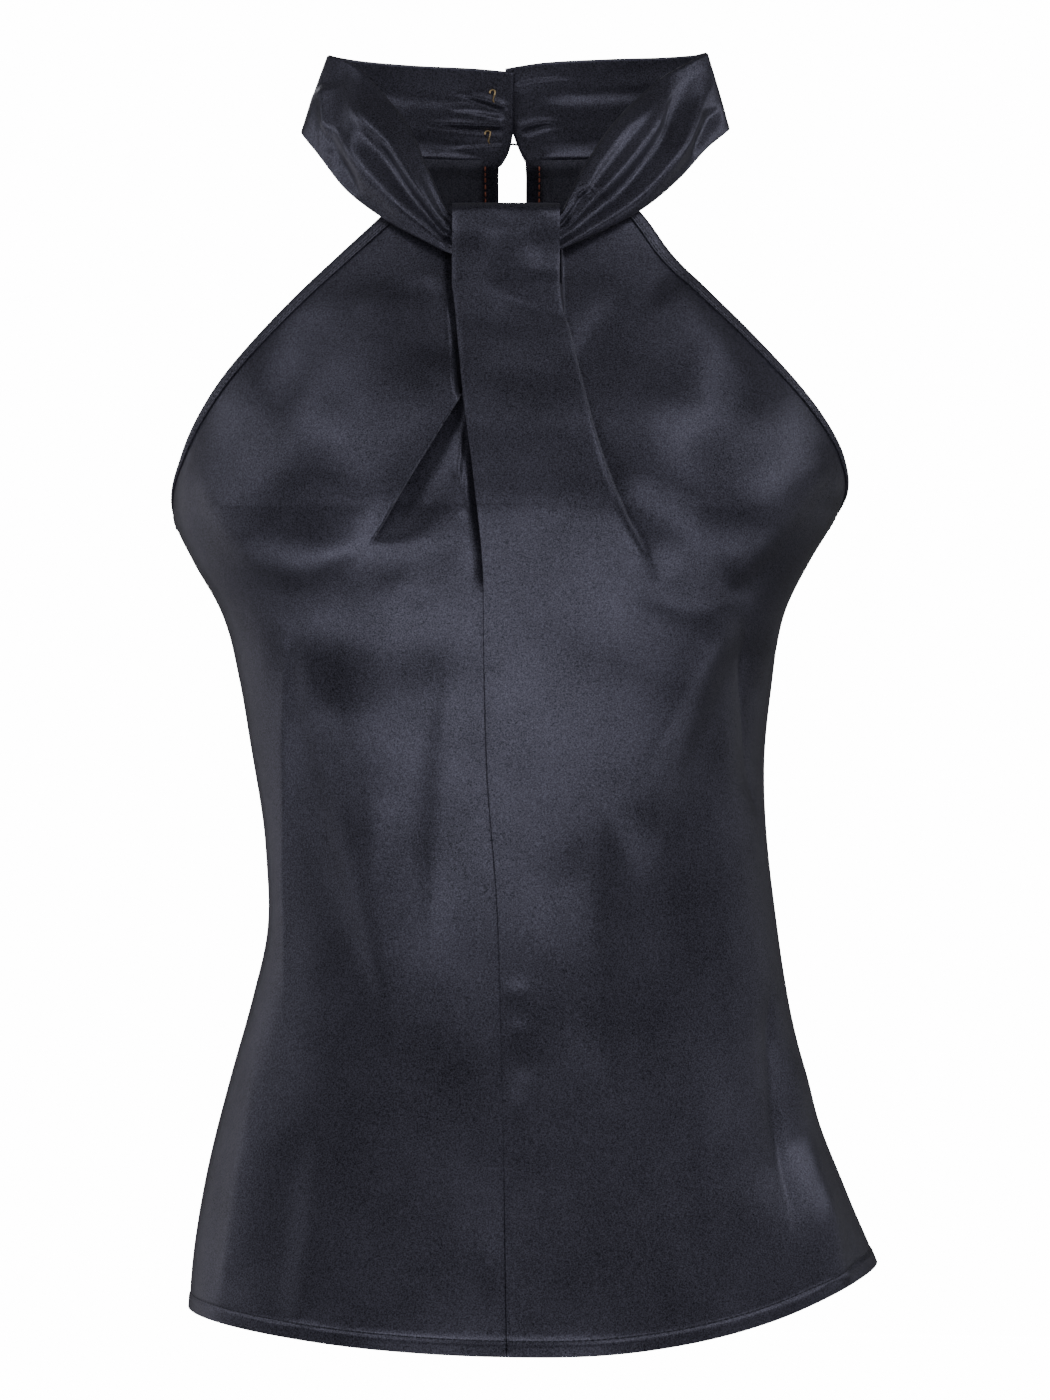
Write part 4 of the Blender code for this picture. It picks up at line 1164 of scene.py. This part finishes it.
def bindingFrom(name, shape, top, replaced):
    # A crowned strip on the panel's own points, moved outwards, with a groove along each line of
    # stitches. Three columns more lie beyond the panel's edge and turn down over it, above the seam.
    # Gives the piece, and its outer layer with the outward directions for the stitches.
    rows = spaced((strips["armholeBottom"], 90), (top, 0))
    count = strips["columns"]
    u, v = evenColumns(shape, rows, shell["bindingWidth"], count)
    turned = smooth((rows - shell["underarm"] - 0.5) / 2)[:, None]
    base = shape(u, v)
    beyond = unit(base[0] - base[1])
    lip = [base[0] + out * turned * beyond for out in strips["lip"]]
    base = np.concatenate([lip, base])
    normals = gridNormals(base, fromAxis(base))
    normals[:3] = normals[3]
    across = np.concatenate([np.zeros(3), np.linspace(0, 1, count)])[:, None] * np.ones(v.shape[1])
    v = np.broadcast_to(rows, across.shape)
    toInner = (1 - across) * shell["bindingWidth"]
    lift = strips["crown"] * (1 - (2 * across - 1) ** 4)
    for place, deep in strips["grooves"]:
        lift -= deep * bell(toInner - place, 0.5)
    lift += strips["ripple"] * np.sin(v * 2.1) * bell(toInner - 1.8, 1.5)
    under = base + normals * strips["gap"]
    over = under + normals * (strips["wall"] + lift)[..., None]
    under[:2] -= normals[:2] * (strips["gap"] + shell["wall"]) * turned
    made = addCloth(name, over, under, (bindingSheenSatin, reverse), replaced)
    return made, over[3:], normals[3:]


bindings = [
    bindingFrom("leftFrontBinding", frontLeft, shell["frontTop"], ["binding_front_left"]),
    bindingFrom("rightFrontBinding", frontRight, shell["frontTop"], ["binding_front_right"]),
    bindingFrom("leftBackBinding", backPanel("left"), shell["backTop"], ["binding_back_left"]),
    bindingFrom("rightBackBinding", backPanel("right"), shell["backTop"], ["binding_back_right"]),
]


def turning(name, outer, replaced):
    # a turned-in allowance behind a panel, from the same points moved inwards
    normals = gridNormals(outer, fromAxis(outer))
    over = outer - normals * (shell["wall"] + strips["gap"])
    return addCloth(name, over, over - normals * strips["wall"], (reverse, satin), replaced)


hemRow = np.searchsorted(frontRows, hemTop - 0.5)
panels = (
    ("leftFront", frontLeftOuter, "hem_front_left"),
    ("rightFront", frontRightOuter, "hem_front_right"),
    ("leftBack", backOuter["left"], "hem_back_left"),
    ("rightBack", backOuter["right"], "hem_back_right"),
)
hems = {panel: turning(f"{panel}Hem", outer[:, : hemRow + 1], [node]) for panel, outer, node in panels}
facingRows = spaced((shell["keyholeEnd"] + 3, 70), (shell["backTop"], 0))
facings, facingPieces = {}, {}
for side in ("left", "right"):
    u, v = evenColumns(backPanel(side), facingRows, shell["facingWidth"], 9, 1.0, -1)
    facings[side] = backPanel(side)(u, v)
    facingPieces[side] = turning(f"{side}Facing", facings[side], [f"facing_back_{side}"])
print("strips made")


stitching = {
    "hem": {"pitch": 3.0, "length": 2.3, "radius": 0.2},
    "binding": {"pitch": 2.6, "length": 2.0, "radius": 0.17},
    "keyhole": {"pitch": 3.8, "length": 3.0, "radius": 0.48},
}


def stitchRow(path, normals, pitch, length, radius):
    # Stitches along a path: each is a little capsule of seven rings of six points, bent down into
    # the cloth at its two ends. Returns rings, stitch by stitch.
    steps = np.linalg.norm(np.diff(path, axis=0), axis=-1)
    far = np.concatenate([[0], np.cumsum(steps)])
    count = int(far[-1] / pitch)
    t = np.array([-1, -0.9, -0.6, 0, 0.6, 0.9, 1])
    thick = np.array([0.15, 0.6, 0.95, 1, 0.95, 0.6, 0.15]) * radius
    dip = radius * (0.75 - 1.1 * np.abs(t) ** 3)
    at = ((np.arange(count) + 0.5) * pitch)[:, None] + t * length / 2
    centre = np.stack([np.interp(at, far, path[:, k]) for k in range(3)], -1)
    up = unit(np.stack([np.interp(at, far, normals[:, k]) for k in range(3)], -1))
    ahead = unit(np.gradient(centre, axis=1))
    aside = unit(np.cross(ahead, up))
    around = np.linspace(0, 2 * np.pi, 6, endpoint=False)
    centre = centre + up * dip[None, :, None]
    circle = up[:, :, None] * np.cos(around)[:, None] + aside[:, :, None] * np.sin(around)[:, None]
    return centre[:, :, None] + thick[None, :, None, None] * circle


def addStitches(name, rows, finish):
    rings = np.concatenate(rows)
    points, faces, slots = closedRings(rings)
    made = addObject(name, points, faces, points[:, :2], slots)
    made.data.materials.append(finish)
    print(name, len(rings), "stitches")
    return made


stitchLine = np.argmin(np.abs(frontRows - hemTop))
onPanel = {}
for (panel, outer, _), (binding, over, overNormals) in zip(panels, bindings):
    normals = gridNormals(outer, fromAxis(outer))
    rows = [stitchRow(outer[:, stitchLine], normals[:, stitchLine], **stitching["hem"])]
    rows += [stitchRow(over[k], overNormals[k], **stitching["binding"]) for k in (12, 9)]
    onPanel[panel] = [hems[panel], binding, addStitches(f"{panel}Stitches", rows, darkThread)]
for side in ("left", "right"):
    base = facings[side]
    normals = gridNormals(base, fromAxis(base))
    inside = base - normals * (shell["wall"] + strips["gap"] + strips["wall"])
    rows = [stitchRow(inside[7], -normals[7], **stitching["keyhole"])]
    onPanel[f"{side}Back"] += [facingPieces[side], addStitches(f"{side}KeyholeStitches", rows, rustThread)]


# Radii and lengths; a seat is a height, a place across and a name.
fastening = {
    "gathers": 14,
    "wire": 0.45,
    "cord": 0.56,
    "reach": 2.8,
    "seats": ((20.8, -12.4, "bottom"), (42.0, -9.9, "top")),
}
# the button's radius and the distance from the cloth, from its crown to its foot
buttonProfile = np.array([
    (0.05, 5.0), (1.2, 4.9), (2.3, 4.6), (3.3, 4.1), (4.1, 3.4), (4.55, 2.7), (4.6, 2.2),
    (4.3, 1.9), (3.2, 1.75), (1.95, 1.7), (1.9, 0.9), (1.9, 0.02), (0.05, 0.0),
])
# across and up from the seat
shankBend = ((-1.7, 1.4), (-1.5, 2.9), (-0.2, 3.5), (1.0, 2.7), (0.7, 0.6), (0.1, -1.4), (0.5, -3.0))
# beyond the collar's end and out from it, or in the last place out from the button
loopLegs = ((5, 0.4), (2, 0.2), (-0.6, -0.1), (-1.7, -1.6), (None, 3.4))


def smoothPath(points, cells):
    # a cubic Hermite curve through points, cells pieces between each two
    points = np.array(points, float)
    rows = dict(zip(("step", "x", "y", "z"), (np.arange(len(points), dtype=float), *points.T)))
    at = np.linspace(0, len(points) - 1, cells * (len(points) - 1) + 1)
    return np.stack([read(rows, axis, at) for axis in "xyz"], -1)


def wireRings(path, radius, around, plies=0.0):
    # circles across a path that lies nearly flat in XZ, with the bumps of two twisted plies
    ahead = unit(np.gradient(path, axis=0))
    up = unit(np.array([0, 1, 0]) - ahead * ahead[:, 1:2])
    aside = np.cross(ahead, up)
    angle = np.linspace(0, 2 * np.pi, around, endpoint=False)
    far = np.concatenate([[0], np.cumsum(np.linalg.norm(np.diff(path, axis=0), axis=-1))])
    swell = radius * (1 + plies * np.cos(2 * angle[None, :] - far[:, None] * 2.4))
    swell = swell * np.where((far < 1e-6) | (far > far[-1] - 1e-6), 0.8, 1)[:, None]
    circle = up[:, None] * np.cos(angle)[:, None] + aside[:, None] * np.sin(angle)[:, None]
    return path[:, None] + swell[..., None] * circle


collarTall = collarLeft["upperZ"][-2] - collarSize["seam"]


def legPoint(z, x, middle, way):
    # a point on a leg of a loop, between the collar's end and the button
    beyond, out = way
    if beyond is None:
        return (x + out, middle, z)
    edge = collarLayers(np.array([1.0]), np.array([(z - collarSize["seam"]) / collarTall]))[0][0]
    return (edge[0] + beyond, edge[1] + 0.9 + out, z)


for height, x, place in fastening["seats"]:
    share = np.full(101, (height - collarSize["seam"]) / collarTall)
    outerLine, innerLine = collarLayers(-np.linspace(0.9, 1, 101), share)
    near = np.argmin(np.abs(outerLine[:, 0] - x))
    seat = outerLine[near, 1] + 0.3
    angle = np.linspace(0, 2 * np.pi, 84, endpoint=False)
    fine = smoothPath(np.column_stack([buttonProfile, 0 * buttonProfile[:, 0]]), 3)
    pull = 0.09 * smooth((fine[:, 0] - 3) / 1.2) * smooth((3.2 - fine[:, 1]) / 1.4)
    radius = fine[:, :1] * (1 + pull[:, None] * 0.5 * np.sin(fastening["gathers"] * angle))
    behind = seat + fine[:, 1:2] + 0 * radius
    rings = np.stack([x + radius * np.cos(angle), behind, height + radius * np.sin(angle)], -1)
    addTube(f"{place}Button", rings, satin, [f"button_{place}"])
    lie = innerLine[near, 1] - 0.3 - fastening["wire"]
    bend = [(x + across, lie - 0.35 * (3.5 - abs(rise)), height + rise) for across, rise in shankBend]
    wire = wireRings(smoothPath(bend, 6), fastening["wire"], 16)
    addTube(f"{place}Shank", wire, brass, [f"shank_{place}"])
    middle = seat + 0.95
    reach = fastening["reach"]
    turns = np.linspace(np.pi / 3, 5 * np.pi / 3, 7)
    ring = [(x + reach * np.cos(a), middle, height + reach * np.sin(a)) for a in turns]
    upper = [legPoint(height + reach, x, middle, way) for way in loopLegs]
    lower = [legPoint(height - reach, x, middle, way) for way in loopLegs]
    cord = wireRings(smoothPath([*upper, *ring, *lower[::-1]], 6), fastening["cord"], 14, 0.1)
    addTube(f"{place}Loop", cord, loopCord, [f"button_loop_{place}"])
print("fastening made")


stage = {"floor": -0.95, "front": -6.0, "back": 6.0, "top": 5.0, "half": 6.0, "curve": 1.6}


def addStage():
    # a floor that turns up into a wall behind
    angle = np.linspace(0, np.pi / 2, 25)
    curve = stage["curve"]
    y = [stage["front"], *(stage["back"] - curve + curve * np.sin(angle)), stage["back"]]
    z = [stage["floor"], *(stage["floor"] + curve * (1 - np.cos(angle))), stage["top"]]
    x = (-stage["half"], 0, stage["half"])
    points = np.array([(a, b, c) for a in x for b, c in zip(y, z)])
    index = np.arange(len(points)).reshape(3, len(y))
    faces = np.stack([index[:-1, :-1], index[1:, :-1], index[1:, 1:], index[:-1, 1:]], -1).reshape(-1, 4)
    mesh = bpy.data.meshes.new("floor")
    mesh.from_pydata(points.tolist(), [], faces.tolist())
    mesh.polygons.foreach_set("use_smooth", np.ones(len(faces), bool))
    made = bpy.data.objects.new("floor", mesh)
    bpy.context.scene.collection.objects.link(made)
    white = {"Base Color": (0.85, 0.85, 0.85, 1), "Emission Color": (1, 1, 1, 1)}
    paper = Finish("pale_paper", {**white, "Roughness": 0.9, "Emission Strength": 15.0})
    mesh.materials.append(paper.material)
    # the paper is seen, but it doesn't light the part or show in it
    made.visible_glossy = False
    made.visible_diffuse = False
    made.visible_shadow = False


addStage()

lampAim = (0, 0, -0.28)
lampTint = (0.917, 0.931, 1.0)
lamps = {
    # place, width, height and power in watts, then an aim and a tint of its own where it has them
    "frontBelow": ((0, -2.6, -0.72), 1.0, 0.5, 2.0),
    "frontLow": ((0, -2.4, -1.3), 1.0, 0.5, 3.4),
    "frontLowLeft": ((-0.9, -2.3, -1.1), 0.8, 0.6, 2.7),
    "frontLowRight": ((0.9, -2.3, -1.1), 0.8, 0.6, 1.2),
    "leftLow": ((-1.3, -1.5, -1.6), 0.8, 0.8, 3.4),
    "rightLow": ((1.3, -1.5, -1.6), 0.8, 0.8, 3.0),
    "leftSide": ((-2.3, 0.3, -0.3), 0.8, 0.8, 1.4),
    "rightSide": ((2.3, 0.3, -0.3), 0.8, 0.8, 0.7),
    "leftSideHigh": ((-2.2, 0.1, 0.75), 0.9, 0.8, 4.0),
    "rightSideHigh": ((2.2, 0.1, 0.75), 0.9, 0.8, 4.6),
    "leftHigh": ((-1.5, -1.5, 1.3), 0.8, 0.8, 4.0),
    "rightHigh": ((1.5, -1.5, 1.3), 0.8, 0.8, 4.2),
    "frontHigh": ((0, -2.2, 1.4), 1.4, 0.6, 1.8),
    "frontTop": ((0, -1.4, 1.9), 1.2, 0.6, 0.8),
    "leftTop": ((-1.2, -0.9, 1.7), 0.7, 0.7, 2.6),
    "rightTop": ((1.2, -0.9, 1.7), 0.7, 0.7, 3.0),
    "rightFront": ((1.9, -1.3, 0.25), 0.9, 0.7, 0.9),
    "leftSideLow": ((-2.0, -0.5, -1.3), 0.8, 0.8, 2.4),
    "rightSideLow": ((2.0, -0.5, -1.3), 0.8, 0.8, 2.2),
    "leftBehind": ((-1.6, 1.3, -0.4), 0.5, 1.4, 1.8, (0, 0, -0.35), (0.93, 0.91, 1)),
    "rightBehind": ((1.6, 1.3, -0.35), 0.6, 0.6, 0.3),
    "behindLow": ((0.4, 2.6, -1.2), 1.2, 0.6, 7.0),
    "behindHigh": ((-0.7, 2.4, 0.9), 1.0, 0.8, 3.0),
}


def addLamp(name, place, width, height, power, aim=lampAim, tint=lampTint):
    light = bpy.data.lights.new(name, "AREA")
    light.shape = "RECTANGLE"
    light.size, light.size_y = width, height
    light.energy = power
    light.color = tint
    made = bpy.data.objects.new(name, light)
    bpy.context.scene.collection.objects.link(made)
    x, y, z = np.subtract(aim, place)
    made.location = place
    made.rotation_euler = (np.pi / 2 + np.arctan2(z, np.hypot(x, y)), 0, np.arctan2(-x, y))


for name, settings in lamps.items():
    addLamp(name, *settings)

world = bpy.data.worlds.new("studio")
world.use_nodes = True
world.node_tree.nodes["Background"].inputs["Color"].default_value = (1, 1, 1, 1)
world.node_tree.nodes["Background"].inputs["Strength"].default_value = 0.05
bpy.context.scene.world = world

camera = bpy.data.cameras.new("camera")
camera.lens = 122
camera.sensor_width = 36
camera.sensor_fit = "AUTO"
camera.clip_end = 100
cameraObject = bpy.data.objects.new("camera", camera)
bpy.context.scene.collection.objects.link(cameraObject)
cameraObject.location = (0.0066, -2.4, -0.27)
cameraObject.rotation_euler = (np.pi / 2, 0, 0)
bpy.context.scene.camera = cameraObject
print("stage, light and camera made")
